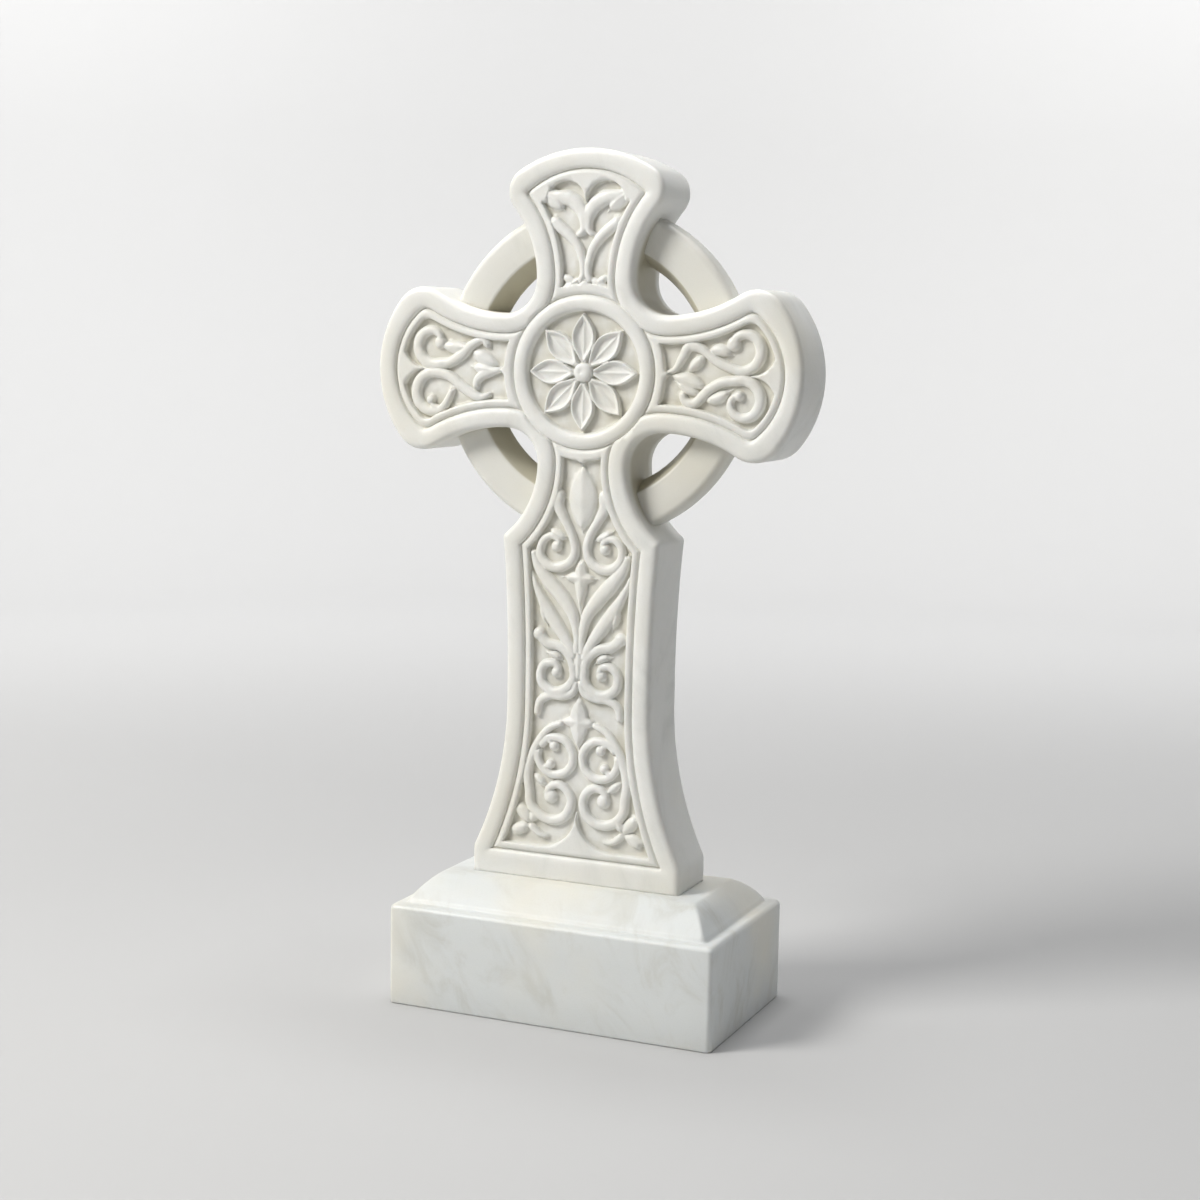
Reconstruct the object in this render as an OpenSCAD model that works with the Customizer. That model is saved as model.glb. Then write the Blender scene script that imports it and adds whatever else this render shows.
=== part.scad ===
// Celtic cross gravestone: a ringed cross carved from one stone, standing on a plinth of its own.
// Millimetres, +Z up, the carved front faces -Y, origin under the middle of the plinth.

/* [Cross] */
// Thickness of the cross, front to back
cross_t = 106; // [90:1:124]
// Height of the boss centre above the plinth's seat
axis_rise = 731; // [700:1:900]
// Reach of each side arm from the boss centre
arm_reach = 325; // [316:1:380]
// Reach of the top arm from the boss centre
top_reach = 309; // [290:1:360]
// Radius of the side arms' rounded ends
arm_end_r = 161; // [150:1:180]
// Radius of the top arm's rounded end
top_end_r = 196; // [180:1:236]
// Half height of a side arm at its waist
arm_waist = 81; // [70:0.5:90]
// Distance of the side arms' waist from the middle
arm_waist_x = 123; // [123:1:140]
// Radius of the hollow edges of a side arm
arm_hollow_r = 210; // [170:1:240]
// Radius of the side arms' corners
arm_corner_r = 46; // [38:1:56]
// Half width of the neck above the boss
upper_neck = 74; // [64:0.5:75]
// Radius of the hollow edges of the top arm
top_hollow_r = 152; // [140:1:200]
// Radius of the top arm's corners
top_corner_r = 35; // [28:1:42]
// Radius of the fillets where the arms meet the necks
fillet_r = 48; // [40:1:50]

/* [Shaft] */
// Half width of the neck below the boss
lower_neck = 69; // [60:0.5:74]
// Radius of the hollow under the ring, down to the shoulder
neck_hollow_r = 132; // [120:1:150]
// Half width of the shaft at its waist
shaft_waist = 112; // [102:0.5:116]
// Height above the seat where the shaft starts to swell towards the shoulder
swell_rise = 302; // [270:1:320]
// Radius of the swell up to the shoulder
swell_r = 2000; // [1700:10:3000]
// Height above the seat where the foot starts to flare
flare_rise = 257; // [245:1:268]
// Radius of the flare of the foot
flare_r = 500; // [470:1:560]
// Width of the foot on its seat
foot_w = 326; // [306:1:344]

/* [Ring] */
// Outer radius of the ring
ring_r = 235; // [220:1:245]
// Inner radius of the ring at its front face
ring_front_inner_r = 182; // [176:1:190]
// Inner radius of the ring at its narrowest, near the back
ring_back_inner_r = 166; // [160:1:172]
// Thickness of the ring, front to back
ring_t = 44; // [36:1:60]
// Width of the splay along the ring's outer edges
ring_splay = 11; // [6:1:14]

/* [Mouldings] */
// Width of the plain roll around each panel
roll_w = 27; // [22:0.5:30]
// Height of the plain foot under the lowest panel
foot_border = 35; // [30:1:42]
// Width of the groove inside the roll
groove_w = 3.5; // [2:0.5:5]
// Depth of the groove below the face
groove_d = 6; // [4:0.5:8]
// Width of the flat band inside the groove
band_w = 8.5; // [6:0.5:11]
// Depth of the band below the face
band_d = 2.5; // [1.5:0.5:4]
// Depth of the panels' ground below the face
ground_d = 11; // [8:0.5:14]
// Depth of the vines' and leaves' tops below the face
vine_d = 4; // [3:0.5:6]
// Height of the pointed spandrel in the foot of the shaft panel
foot_cusp = 60; // [46:1:66]

/* [Boss] */
// Outer radius of the boss ring
boss_r = 107; // [98:1:112]
// Inner radius of the boss ring
boss_inner_r = 86; // [80:1:90]
// Rise of the boss ring's rounded top
boss_crown = 5; // [3:0.5:7]
// Depth of the boss's dished ground below the face
dish_d = 10; // [7:0.5:13]
// Number of petals
petals = 8; // [6:1:10]
// Radius from the centre to the petals' tips
petal_tip_r = 83; // [70:1:84]
// Half width of a petal
petal_w = 17.6; // [12:0.1:18]
// Width of a petal's raised rim
petal_rim = 4.5; // [3:0.5:6]
// Height of a petal's rim above the hollow inside it
petal_hollow = 4; // [2:0.5:5]
// Width of the rib along the middle of a petal
petal_rib_w = 4; // [3:0.5:6]
// Drop of the rib below the petal's rim
rib_drop = 1.5; // [1:0.5:2.5]
// Radius of the centre button
button_r = 14.5; // [11:0.5:16]
// Width of the curved band that closes each panel towards the boss
closing_band_w = 12; // [9:1:14]

/* [Panel ends] */
// Radius of the groove around the ends of the side panels
arm_panel_r = 108; // [96:1:120]
// Radius of the groove around the end of the top panel
top_panel_r = 140; // [120:1:160]
// Radius of the two lobes that end the top panel
top_lobe_r = 30; // [26:1:31]
// Width of the band above the top panel's lobes, at its narrowest
top_lobe_band = 5; // [3:0.5:8]
// Width of the band outside the arm panels' lobes, from the panel's end to the lobes' middle
arm_lobe_reach = 38; // [34:1:42]

/* [Plinth] */
// Height of the plinth's ledge above the ground
ledge_z = 148; // [120:1:180]
// Margin of the plinth beyond each side of the cross's foot
side_margin = 87; // [76:1:110]
// Margin of the plinth beyond the front and the back of the cross
front_margin = 92; // [80:1:120]
// Width of the ledge around the plinth's top
ledge_w = 18; // [14:1:22]
// Height of the small step inside the ledge
step_h = 7; // [4:1:10]
// Height of the weathered slope above the step
slope_h = 33; // [24:1:42]
// Run of the weathered slope at the sides
side_run = 32; // [24:1:40]
// Run of the weathered slope at the front and the back
front_run = 48; // [36:1:56]
// Swelling of the weathered slope above a straight line
slope_crown = 4; // [0:0.5:6]
// Radius of the plinth's arrises
arris_r = 6; // [3:0.5:8]

/* [Hidden] */
$fn = 120;
long_arc_fn = 1440;
past = 1;                                  // how far a cutter runs past the face that it opens

seat_z = ledge_z + step_h + slope_h;
plinth_w = foot_w + 2 * side_margin;
plinth_d = cross_t + 2 * front_margin;
face_y = -cross_t / 2;

axis_z = seat_z + axis_rise;
flare_z = seat_z + flare_rise;
swell_z = seat_z + swell_rise;
crook_z = arm_waist + fillet_r;            // the fillets' centres lie this far above and below the axis
band_inset = roll_w + groove_w;
ground_inset = band_inset + band_w;
tip_share = petal_tip_r / (2.6 * petal_w);  // a petal's tips draw back this much for each step of its sides
sliver = past / 10;                        // how far a shallow cutter overlaps the groove beside it

cross_colour = [0.93, 0.93, 0.90];
plinth_colour = [0.90, 0.91, 0.90];

// ---- helpers ----

// Carries a drawing in x and z to a slab between two depths
module slab(front, back) {
    translate([0, back, 0]) rotate([90, 0, 0]) linear_extrude(back - front) children();
}

// The drawing and its mirror image on the other side of the middle
module both_sides() {
    children();
    mirror([1, 0, 0]) children();
}

// The drawing and its mirror image on the other side of the arms' axis
module above_and_below() {
    children();
    mirror([0, 1, 0]) children();
}

// Where a circle of radius ra about a meets one of radius rb about b, on the left of the way from a to b
function meeting(a, ra, b, rb) =
    let (d = norm(b - a), u = (b - a) / d, k = (ra * ra - rb * rb + d * d) / (2 * d))
    a + u * k + [-u.y, u.x] * sqrt(ra * ra - k * k);

// Point number i of a smooth line through the points p, at the share t of its span
function glide(p, i, t) =
    let (n = len(p), a = p[max(i - 1, 0)], b = p[i], c = p[min(i + 1, n - 1)], d = p[min(i + 2, n - 1)])
    0.5 * (2 * b + (c - a) * t + (2 * a - 5 * b + 4 * c - d) * t * t + (3 * b - a - 3 * c + d) * t * t * t);

// The smooth line through p as a list of points, with steps to a span
function smooth_line(p, steps = 3) =
    concat([for (i = [0:len(p) - 2], k = [0:steps - 1]) glide(p, i, k / steps)], [p[len(p) - 1]]);

// The vector v turned by the angle a
function turned(v, a) = [v.x * cos(a) - v.y * sin(a), v.x * sin(a) + v.y * cos(a)];

// The unit normal of a line at its point i
function normal_at(line, i) =
    let (v = line[min(i + 1, len(line) - 1)] - line[max(i - 1, 0)]) [-v.y, v.x] / norm(v);

// ---- outline of the cross, about the boss centre; inset moves every edge inwards ----

// The corner where a hollow edge turns into the rounded end of an arm, struck from c with radius r
module turned_corner(c, r, hollow_c, end_c) {
    t1 = (hollow_c - c) / norm(hollow_c - c);
    t2 = (c - end_c) / norm(c - end_c);
    difference() {
        children();
        polygon([c, c + 3 * r * t1, c + 3 * r * (t1 + t2), c + 3 * r * t2]);
    }
    translate(c) circle(r);
}

// A half of the right arm: its hollow upper edge and its rounded end, struck with radius end_r
module half_arm_2d(inset, end_r) {
    difference() {
        intersection() {
            square([arm_reach, arm_reach]);
            translate([arm_reach - end_r, 0]) circle(end_r - inset, $fn = long_arc_fn);
        }
        translate([0, arm_waist - inset]) square([arm_waist_x, arm_reach]);
        translate([arm_waist_x, arm_waist + arm_hollow_r]) circle(arm_hollow_r + inset, $fn = long_arc_fn);
    }
}

// The right half of the top arm
module half_top_2d(inset, end_r) {
    hollow_x = upper_neck + top_hollow_r;
    difference() {
        intersection() {
            square([top_reach, top_reach]);
            translate([0, top_reach - end_r]) circle(end_r - inset, $fn = long_arc_fn);
        }
        translate([upper_neck - inset, 0]) square([top_reach, crook_z]);
        translate([hollow_x, crook_z]) circle(top_hollow_r + inset, $fn = long_arc_fn);
    }
}

// The right half of the shaft, from the boss centre down to the foot
module half_shaft_2d(inset, foot_inset) {
    seat = -axis_rise;
    difference() {
        translate([0, seat + foot_inset]) square([foot_w / 2 - inset, axis_rise - foot_inset]);
        translate([shaft_waist + flare_r, flare_z - axis_z]) circle(flare_r + inset, $fn = long_arc_fn);
        translate([shaft_waist - inset, flare_z - axis_z]) square([foot_w, swell_z - flare_z]);
        intersection() {
            translate([shaft_waist + swell_r, swell_z - axis_z]) circle(swell_r + inset, $fn = 4 * long_arc_fn);
            translate([0, swell_z - axis_z]) square([foot_w, axis_z - swell_z]);
        }
        translate([lower_neck + neck_hollow_r, -crook_z])
            circle(neck_hollow_r + inset, $fn = long_arc_fn);
        translate([lower_neck - inset, -crook_z]) square([foot_w, crook_z]);
    }
}

// The fillet in the crook between a neck and an arm
module crook_2d(neck, inset) {
    difference() {
        square([neck + fillet_r, crook_z]);
        translate([neck + fillet_r, crook_z]) circle(fillet_r + inset, $fn = long_arc_fn);
    }
}

// The shaft, the crooks and the necks, which carry the arms
module half_trunk_2d(inset, foot_inset) {
    half_shaft_2d(inset, foot_inset);
    crook_2d(upper_neck, inset);
    mirror([0, 1]) crook_2d(lower_neck, inset);
}

// The outline of the cross, in place, with its arms' corners turned
module outline_2d() {
    arm_end_c = [arm_reach - arm_end_r, 0];
    top_end_c = [0, top_reach - top_end_r];
    arm_hollow_c = [arm_waist_x, arm_waist + arm_hollow_r];
    top_hollow_c = [upper_neck + top_hollow_r, crook_z];
    arm_corner = meeting(arm_hollow_c, arm_hollow_r + arm_corner_r, arm_end_c, arm_end_r - arm_corner_r);
    top_corner = meeting(top_end_c, top_end_r - top_corner_r, top_hollow_c, top_hollow_r + top_corner_r);
    translate([0, axis_z]) both_sides() {
        above_and_below()
            turned_corner(arm_corner, arm_corner_r, arm_hollow_c, arm_end_c) half_arm_2d(0, arm_end_r);
        turned_corner(top_corner, top_corner_r, top_hollow_c, top_end_c) half_top_2d(0, top_end_r);
        half_trunk_2d(0, 0);
    }
}

// The four panels in one, in place: every edge of the cross moved inwards, with rounder ends
module inner_2d(inset) {
    translate([0, axis_z]) both_sides() {
        above_and_below() half_arm_2d(inset, arm_panel_r + roll_w);
        half_top_2d(inset, top_panel_r + roll_w);
        half_trunk_2d(inset, foot_border + inset - roll_w);
    }
}

// The four panels: the cross inside its roll, less the boss
module panels_2d(inset, boss) {
    difference() {
        inner_2d(inset);
        translate([0, axis_z]) circle(boss);
    }
}

// ---- ground of the panels ----

// The lobes that end a panel in a brace: two round hollows that meet in a cusp
module lobed_end_2d(lobe_r) {
    above_and_below() translate([0, lobe_r]) circle(lobe_r);
}

module ground_2d() {
    arm_cusp_x = arm_reach - ground_inset - arm_lobe_reach;
    arm_lobe_r = (arm_waist + arm_hollow_r
        - sqrt(pow(arm_hollow_r + ground_inset, 2) - pow(arm_cusp_x - arm_waist_x, 2))) / 2;
    top_cusp_z = top_reach - ground_inset - top_lobe_r - top_lobe_band;
    foot_z = -axis_rise + foot_border + ground_inset - roll_w;
    reach = boss_r + groove_w + closing_band_w;
    difference() {
        panels_2d(ground_inset, reach);
        translate([0, axis_z]) both_sides() translate([arm_cusp_x, -arm_reach / 2])
            difference() {
                square([arm_reach, arm_reach]);
                translate([0, arm_reach / 2]) lobed_end_2d(arm_lobe_r);
            }
        translate([-top_reach / 2, axis_z + top_cusp_z])
            difference() {
                square([top_reach, top_reach]);
                translate([top_reach / 2, 0]) rotate(90) lobed_end_2d(top_lobe_r);
            }
        translate([0, axis_z + foot_z]) difference() {
            translate([-foot_cusp, -past]) square([2 * foot_cusp, foot_cusp + past]);
            both_sides() translate([foot_cusp, foot_cusp]) circle(foot_cusp);
        }
    }
}

// ---- vines and leaves, about the boss centre ----

// A stem along the smooth line through p, from width w0 to width w1, with round ends
module stem_2d(p, w0, w1, ball = 0) {
    line = smooth_line(p);
    last = len(line) - 1;
    half = [for (i = [0:last]) (w0 + (w1 - w0) * i / last) / 2];
    polygon(concat(
        [for (i = [0:last]) line[i] + normal_at(line, i) * half[i]],
        [for (a = [45, 90, 135]) line[last] + turned(normal_at(line, last), -a) * half[last]],
        [for (i = [last:-1:0]) line[i] - normal_at(line, i) * half[i]],
        [for (a = [45, 90, 135]) line[0] + turned(normal_at(line, 0), 180 - a) * half[0]]));
    if (ball > 0) translate(line[last]) circle(ball);
}

// A pointed leaf from one point to another: two arcs that meet at both tips
module leaf_2d(from, to, half_w) {
    half_l = norm(to - from) / 2;
    r = (half_l * half_l + half_w * half_w) / (2 * half_w);
    v = (to - from) / (2 * half_l);
    translate((from + to) / 2) intersection() {
        translate([-v.y, v.x] * (r - half_w)) circle(r, $fn = 360);
        translate([v.y, -v.x] * (r - half_w)) circle(r, $fn = 360);
    }
}

// The right half of the carving in the top arm
module top_vines_2d() {
    leaf_2d([70, 250], [8, 188], 15);
    leaf_2d([52, 229], [24, 208], 8);
    stem_2d([[50, 205], [24, 187], [8, 172], [3, 154], [5, 134], [10, 122], [38, 113]], 9, 6);
    stem_2d([[8, 121], [22, 128], [32, 131]], 6, 4);
}

// The carving in the right arm: two scrolls that part at the closing band
module arm_vines_2d() {
    stem_2d([[130, 3], [145, 15], [152, 34], [164, 41], [181, 32], [201, 17], [226, 9], [250, 20], [259, 40],
             [250, 60], [233, 66], [219, 56], [223, 45]], 8, 10, 8.5);
    stem_2d([[152, -28], [166, -37], [186, -18], [206, -6], [230, -6], [254, -20], [262, -42], [250, -62],
             [233, -67], [219, -56], [224, -46], [236, -45]], 10, 8, 5);
    leaf_2d([188, 30], [218, 25], 5);
    leaf_2d([185, -31], [216, -19], 6);
    leaf_2d([132, -5], [180, -15], 6);
}

// The right half of the carving in the upper part of the shaft
module upper_vines_2d() {
    stem_2d([[32, -175], [30, -193], [20, -215], [9, -246], [16, -268], [40, -278], [63, -263], [70, -246],
             [57, -231], [43, -240]], 16, 9, 8.5);
    leaf_2d([36, -223], [22, -235], 4);
    stem_2d([[72, -264], [56, -284], [31, -313], [9, -331], [3, -352]], 16, 11);
}

// The right half of the carving in the middle of the shaft
module middle_vines_2d() {
    stem_2d([[74, -302], [56, -340], [30, -372], [8, -396], [3, -414]], 15, 11);
    stem_2d([[64, -366], [50, -382], [31, -388], [14, -400], [7, -420]], 11, 9, 0);
    stem_2d([[8, -414], [9, -433], [36, -452], [63, -432], [50, -410], [36, -423], [43, -432]], 12, 9, 7.5);
    stem_2d([[3, -445], [12, -460], [32, -464], [51, -469], [64, -480], [66, -493]], 10, 8);
}

// The right half of the carving in the foot of the shaft
module lower_vines_2d() {
    stem_2d([[24, -501], [48, -515], [69, -545], [79, -588], [70, -628], [46, -640], [20, -633], [9, -612],
             [22, -597], [36, -607]], 12, 10, 10);
    translate([33, -551]) difference() {
        circle(32);
        circle(23);
    }
    translate([33, -543]) circle(6.5);
    translate([44, -562]) circle(6.5);
    stem_2d([[50, -667], [64, -662], [80, -650]], 5, 8, 8);
    leaf_2d([54, -597], [64, -585], 4);
}

// The leaves on the middle line of the shaft
module middle_leaves_2d() {
    leaf_2d([0, -130], [0, -223], 20);
    leaf_2d([0, -272], [0, -345], 8);
    leaf_2d([-23, -291], [23, -291], 6);
    leaf_2d([0, -465], [0, -538], 9);
    leaf_2d([-24, -500], [24, -500], 7);
}

module vines_2d() {
    translate([0, axis_z]) {
        both_sides() {
            top_vines_2d();
            arm_vines_2d();
            upper_vines_2d();
            middle_vines_2d();
            lower_vines_2d();
        }
        middle_leaves_2d();
    }
}

// ---- boss ----

// Petal number i as seen from the front, drawn smaller all round by inset
module petal_2d(i, inset) {
    rotate(90 + i * 360 / petals)
        leaf_2d([button_r + inset * tip_share, 0], [petal_tip_r - inset * tip_share, 0], petal_w - inset);
}

// All the petals, in place
module petals_2d(inset) {
    translate([0, axis_z]) for (i = [0:petals - 1]) petal_2d(i, inset);
}

// Turns a profile, drawn with its height towards the viewer, about the boss's axis
module about_boss() {
    translate([0, face_y, axis_z]) rotate([90, 0, 0]) rotate_extrude() children();
}

module boss_ring_profile() {
    w = boss_r - boss_inner_r;
    r = (w * w / 4 + boss_crown * boss_crown) / (2 * boss_crown);
    intersection() {
        translate([boss_inner_r + w / 2, -r]) circle(r);
        translate([boss_inner_r, -ground_d - past]) square([w, ground_d + past]);
    }
    translate([boss_inner_r, -ground_d - past]) square([w, ground_d + past - boss_crown]);
}

module boss() {
    about_boss() boss_ring_profile();
    rim_y = face_y + vine_d;
    floor_y = face_y + dish_d + past;
    difference() {
        slab(rim_y, floor_y) petals_2d(0);
        slab(rim_y - past, rim_y + petal_hollow) petals_2d(petal_rim);
    }
    slab(rim_y + rib_drop, floor_y) petals_2d(petal_w - petal_rib_w / 2);
    about_boss() intersection() {
        translate([0, -band_d - button_r]) circle(button_r);
        translate([0, -dish_d - past]) square([button_r, dish_d]);
    }
}

// ---- ring ----

module ring() {
    half_t = ring_t / 2;
    translate([0, 0, axis_z]) rotate([90, 0, 0]) rotate_extrude($fn = long_arc_fn) polygon([
        [ring_front_inner_r, half_t],
        [ring_r - ring_splay, half_t],
        [ring_r, half_t - ring_splay],
        [ring_r, ring_splay - half_t],
        [ring_r - ring_splay, -half_t],
        [ring_back_inner_r + ring_splay / 2, -half_t],
        [ring_back_inner_r, ring_splay / 2 - half_t],
        [ring_back_inner_r, ring_splay - half_t]]);
}

// ---- nodes ----

module cross() color(cross_colour) {
    difference() {
        union() {
            slab(face_y, -face_y) outline_2d();
            ring();
        }
        slab(face_y - past, face_y + groove_d) difference() {
            panels_2d(roll_w, boss_r);
            panels_2d(band_inset, boss_r + groove_w);
        }
        slab(face_y - past, face_y + band_d) panels_2d(band_inset - sliver, boss_r + groove_w - sliver);
        slab(face_y - past, face_y + ground_d) ground_2d();
        slab(face_y - past, face_y + dish_d) translate([0, axis_z]) circle(boss_r - past);
    }
    boss();
    slab(face_y + vine_d, face_y + ground_d + past) vines_2d();
}

// Half of the plinth's section: block, rounded arris, ledge, step, slope and seat
function plinth_section(half_w, run) =
    let (step = half_w - ledge_w, foot = half_w - arris_r, steps = 5)
    concat(
        [[foot, 0], [half_w, arris_r]],
        [for (k = [0:steps]) [foot + arris_r * cos(90 * k / steps),
                              ledge_z - arris_r + arris_r * sin(90 * k / steps)]],
        [[step, ledge_z]],
        [for (k = [0:steps]) let (s = k / steps)
            [step - step_h / 2 - run * s, ledge_z + step_h + slope_h * s + 4 * slope_crown * s * (1 - s)]]);

// The section on both sides of the middle, as one outline
module plinth_section_2d(half_w, run) {
    half = plinth_section(half_w, run);
    last = len(half) - 1;
    polygon(concat(half, [for (i = [last:-1:0]) [-half[i].x, half[i].y]]));
}

module plinth() color(plinth_colour) {
    intersection() {
        slab(-plinth_d / 2, plinth_d / 2) plinth_section_2d(plinth_w / 2, side_run);
        rotate([0, 0, 90]) slab(-plinth_w / 2, plinth_w / 2) plinth_section_2d(plinth_d / 2, front_run);
        linear_extrude(seat_z) {
            square([plinth_w - 2 * arris_r, plinth_d], center = true);
            square([plinth_w, plinth_d - 2 * arris_r], center = true);
            for (x = [-1, 1], y = [-1, 1])
                translate([x * (plinth_w / 2 - arris_r), y * (plinth_d / 2 - arris_r)]) circle(arris_r);
        }
    }
}

cross();
plinth();
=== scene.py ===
import math
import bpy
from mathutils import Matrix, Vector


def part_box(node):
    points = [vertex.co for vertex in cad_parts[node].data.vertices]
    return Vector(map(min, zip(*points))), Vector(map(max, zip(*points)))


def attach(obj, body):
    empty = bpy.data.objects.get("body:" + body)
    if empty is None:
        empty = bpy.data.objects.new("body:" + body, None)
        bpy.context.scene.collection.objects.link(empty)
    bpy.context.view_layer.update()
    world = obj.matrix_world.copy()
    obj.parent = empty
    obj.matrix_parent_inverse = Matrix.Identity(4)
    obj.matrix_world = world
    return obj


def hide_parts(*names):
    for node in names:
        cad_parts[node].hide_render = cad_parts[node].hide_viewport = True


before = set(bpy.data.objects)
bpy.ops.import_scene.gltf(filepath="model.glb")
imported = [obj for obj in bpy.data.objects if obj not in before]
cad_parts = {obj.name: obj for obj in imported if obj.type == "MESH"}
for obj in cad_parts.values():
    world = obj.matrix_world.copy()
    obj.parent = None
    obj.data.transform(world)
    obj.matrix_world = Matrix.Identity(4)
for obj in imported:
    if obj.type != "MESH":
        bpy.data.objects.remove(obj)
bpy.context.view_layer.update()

from types import SimpleNamespace

import bpy
import numpy as np
from mathutils import Matrix, Vector, geometry

bl_info = {
    "name": "Celtic Cross Gravestone",
    "version": (1, 0, 0),
    "blender": (4, 5, 0),
    "location": "View3D > Sidebar > Gravestone",
    "description": "Carves a ringed marble cross with sunk vine panels and the plinth that it stands on",
    "category": "Add Mesh",
}

MM = 0.001
FULL_SHADE_AND_DUST = 7.5                                 # the hollow, in millimetres, that takes the full tint of dust and painted shade
RING_SHADE = 0.42                           # the share of it, as painted shade, on the ring's front, back and outside
FAR = 1.0e4                                # a bound, in millimetres, that never binds
CROSS_LOW, CROSS_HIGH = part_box("cross")
PLINTH_LOW, PLINTH_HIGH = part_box("plinth")


# ---- sizes and colours that a user would change ----

def length(name, description, millimetres):
    """A length property, given in millimetres and kept in metres."""
    return bpy.props.FloatProperty(
        name=name, description=description, default=millimetres * MM, min=0.0, precision=4, unit="LENGTH")


def angle(name, description, degrees):
    """An angle property, given in degrees."""
    return bpy.props.FloatProperty(
        name=name, description=description, default=math.radians(degrees), subtype="ANGLE", precision=4)


def share(name, description, default):
    """A property between 0 and 1."""
    return bpy.props.FloatProperty(
        name=name, description=description, default=default, min=0.0, max=1.0, subtype="FACTOR")


def linear(hex_colour):
    """Turns an sRGB hex value such as "E6E4DE" into linear red, green, blue."""
    srgb = np.array([int(hex_colour[i:i + 2], 16) for i in (0, 2, 4)]) / 255
    return tuple(np.where(srgb <= 0.04045, srgb / 12.92, ((srgb + 0.055) / 1.055) ** 2.4).tolist())


def colour(name, description, hex_colour):
    """A colour property, given as an sRGB hex value."""
    return bpy.props.FloatVectorProperty(
        name=name, description=description, default=linear(hex_colour), min=0.0, max=1.0, size=3,
        subtype="COLOR")


class OutlineSizes(bpy.types.PropertyGroup):
    arm_reach: length("Arm reach", "From the boss centre to the end of a side arm", 325)
    top_reach: length("Top reach", "From the boss centre to the crest", 309)
    arm_end_r: length("Arm end radius", "Radius of the side arms' rounded ends", 161)
    top_end_r: length("Top end radius", "Radius of the top arm's rounded end", 196)
    arm_waist: length("Arm waist", "Half height of a side arm at its waist", 81)
    arm_waist_x: length("Waist distance", "From the middle to the side arms' waist", 123)
    arm_hollow_r: length("Arm hollow radius", "Radius of the side arms' hollow edges", 210)
    arm_corner_r: length("Arm corner radius", "Radius of the side arms' corners", 46)
    upper_neck: length("Upper neck", "Half width of the neck above the boss", 74)
    top_hollow_r: length("Top hollow radius", "Radius of the top arm's hollow edges", 152)
    top_corner_r: length("Top corner radius", "Radius of the top arm's corners", 35)
    fillet_r: length("Crook radius", "Radius where the arms meet the necks", 48)
    lower_neck: length("Lower neck", "Half width of the neck below the boss", 69)
    neck_hollow_r: length("Neck hollow radius", "Radius of the hollow under the ring", 132)
    shaft_waist: length("Shaft waist", "Half width of the shaft at its waist", 112)
    swell_rise: length("Swell rise", "Height above the seat where the shaft starts to swell", 302)
    swell_r: length("Swell radius", "Radius of the swell up to the shoulder", 2000)
    flare_rise: length("Flare rise", "Height above the seat where the foot starts to flare", 257)
    flare_r: length("Flare radius", "Radius of the flare of the foot", 500)
    foot_w: length("Foot width", "Width of the foot on its seat", 326)
    edge_r: length("Edge radius", "Radius of the rounded outer edges", 9)
    wear: length("Wear", "How far the sharp corners of the outline are rubbed round", 2.6)


class CarvingSizes(bpy.types.PropertyGroup):
    roll_w: length("Roll width", "Width of the plain roll around each panel", 27)
    roll_fall_w: length("Roll fall width", "Width over which the roll falls to its groove", 12)
    roll_fall_d: length("Roll fall", "How far the roll falls to its groove", 4.5)
    foot_border: length("Foot border", "Height of the plain foot under the lowest panel", 35)
    groove_w: length("Groove width", "Width of the groove inside the roll", 3.5)
    groove_d: length("Groove depth", "Depth of the groove below the face", 7)
    band_w: length("Band width", "Width of the flat band inside the groove", 8.5)
    band_d: length("Band depth", "Depth of the band below the face", 3)
    ground_d: length("Ground depth", "Depth of the panels' ground below the face", 11.5)
    vine_d: length("Vine depth", "Depth of the vines' tops below the face", 3.5)
    arm_panel_r: length("Arm panel radius", "Radius of the groove around a side panel's end", 108)
    top_panel_r: length("Top panel radius", "Radius of the groove around the top panel's end", 140)
    arm_lobe_reach: length("Arm lobe reach", "From a side panel's end to the middle of its lobes", 38)
    top_lobe_r: length("Top lobe radius", "Radius of the lobes that end the top panel", 30)
    top_lobe_band: length("Top lobe band", "Width of the band above the top lobes", 5)
    foot_cusp: length("Foot cusp", "Height of the pointed spandrel in the foot", 54)
    closing_w: length("Closing band", "Width of the curved band that closes a panel", 12)
    point_rise: length("Point rise", "Height of the small point on each closing band", 7)
    boss_r: length("Boss radius", "Outer radius of the boss ring", 107)
    boss_inner_r: length("Boss inner radius", "Inner radius of the boss ring", 86)
    boss_crown: length("Boss crown", "Rise of the boss ring's rounded top", 5.5)
    dish_d: length("Dish depth", "Depth of the boss's ground below the face", 11)
    petal_tip_r: length("Petal reach", "From the centre to the petals' tips", 83)
    petal_w: length("Petal width", "Half width of a petal", 17.8)
    petal_rim: length("Petal rim", "Width of a petal's raised rim", 4.5)
    button_r: length("Button radius", "Radius of the centre button", 14)
    petals: bpy.props.IntProperty(name="Petals", description="Number of petals", default=8, min=3)


class RingSizes(bpy.types.PropertyGroup):
    ring_r: length("Ring radius", "Outer radius of the ring", 235)
    front_inner_r: length("Front inner radius", "Inner radius of the ring at its front face", 182)
    back_inner_r: length("Back inner radius", "Inner radius of the ring at its narrowest", 166)
    ring_t: length("Ring thickness", "Thickness of the ring, front to back", 44)
    ring_edge_r: length("Ring edge radius", "Radius of the ring's outer edges", 11)


class PlinthSizes(bpy.types.PropertyGroup):
    ledge_z: length("Ledge height", "Height of the ledge above the ground", 148)
    ledge_w: length("Ledge width", "Width of the ledge around the top", 18)
    step_h: length("Step height", "Height of the small step inside the ledge", 7)
    side_run: length("Side run", "Run of the weathered slope at the sides", 32)
    front_run: length("Front run", "Run of the weathered slope at the front and back", 48)
    slope_crown: length("Slope crown", "Swelling of the slope above a straight line", 4)
    arris_r: length("Arris radius", "Radius of the plinth's arrises", 7.5)


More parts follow.
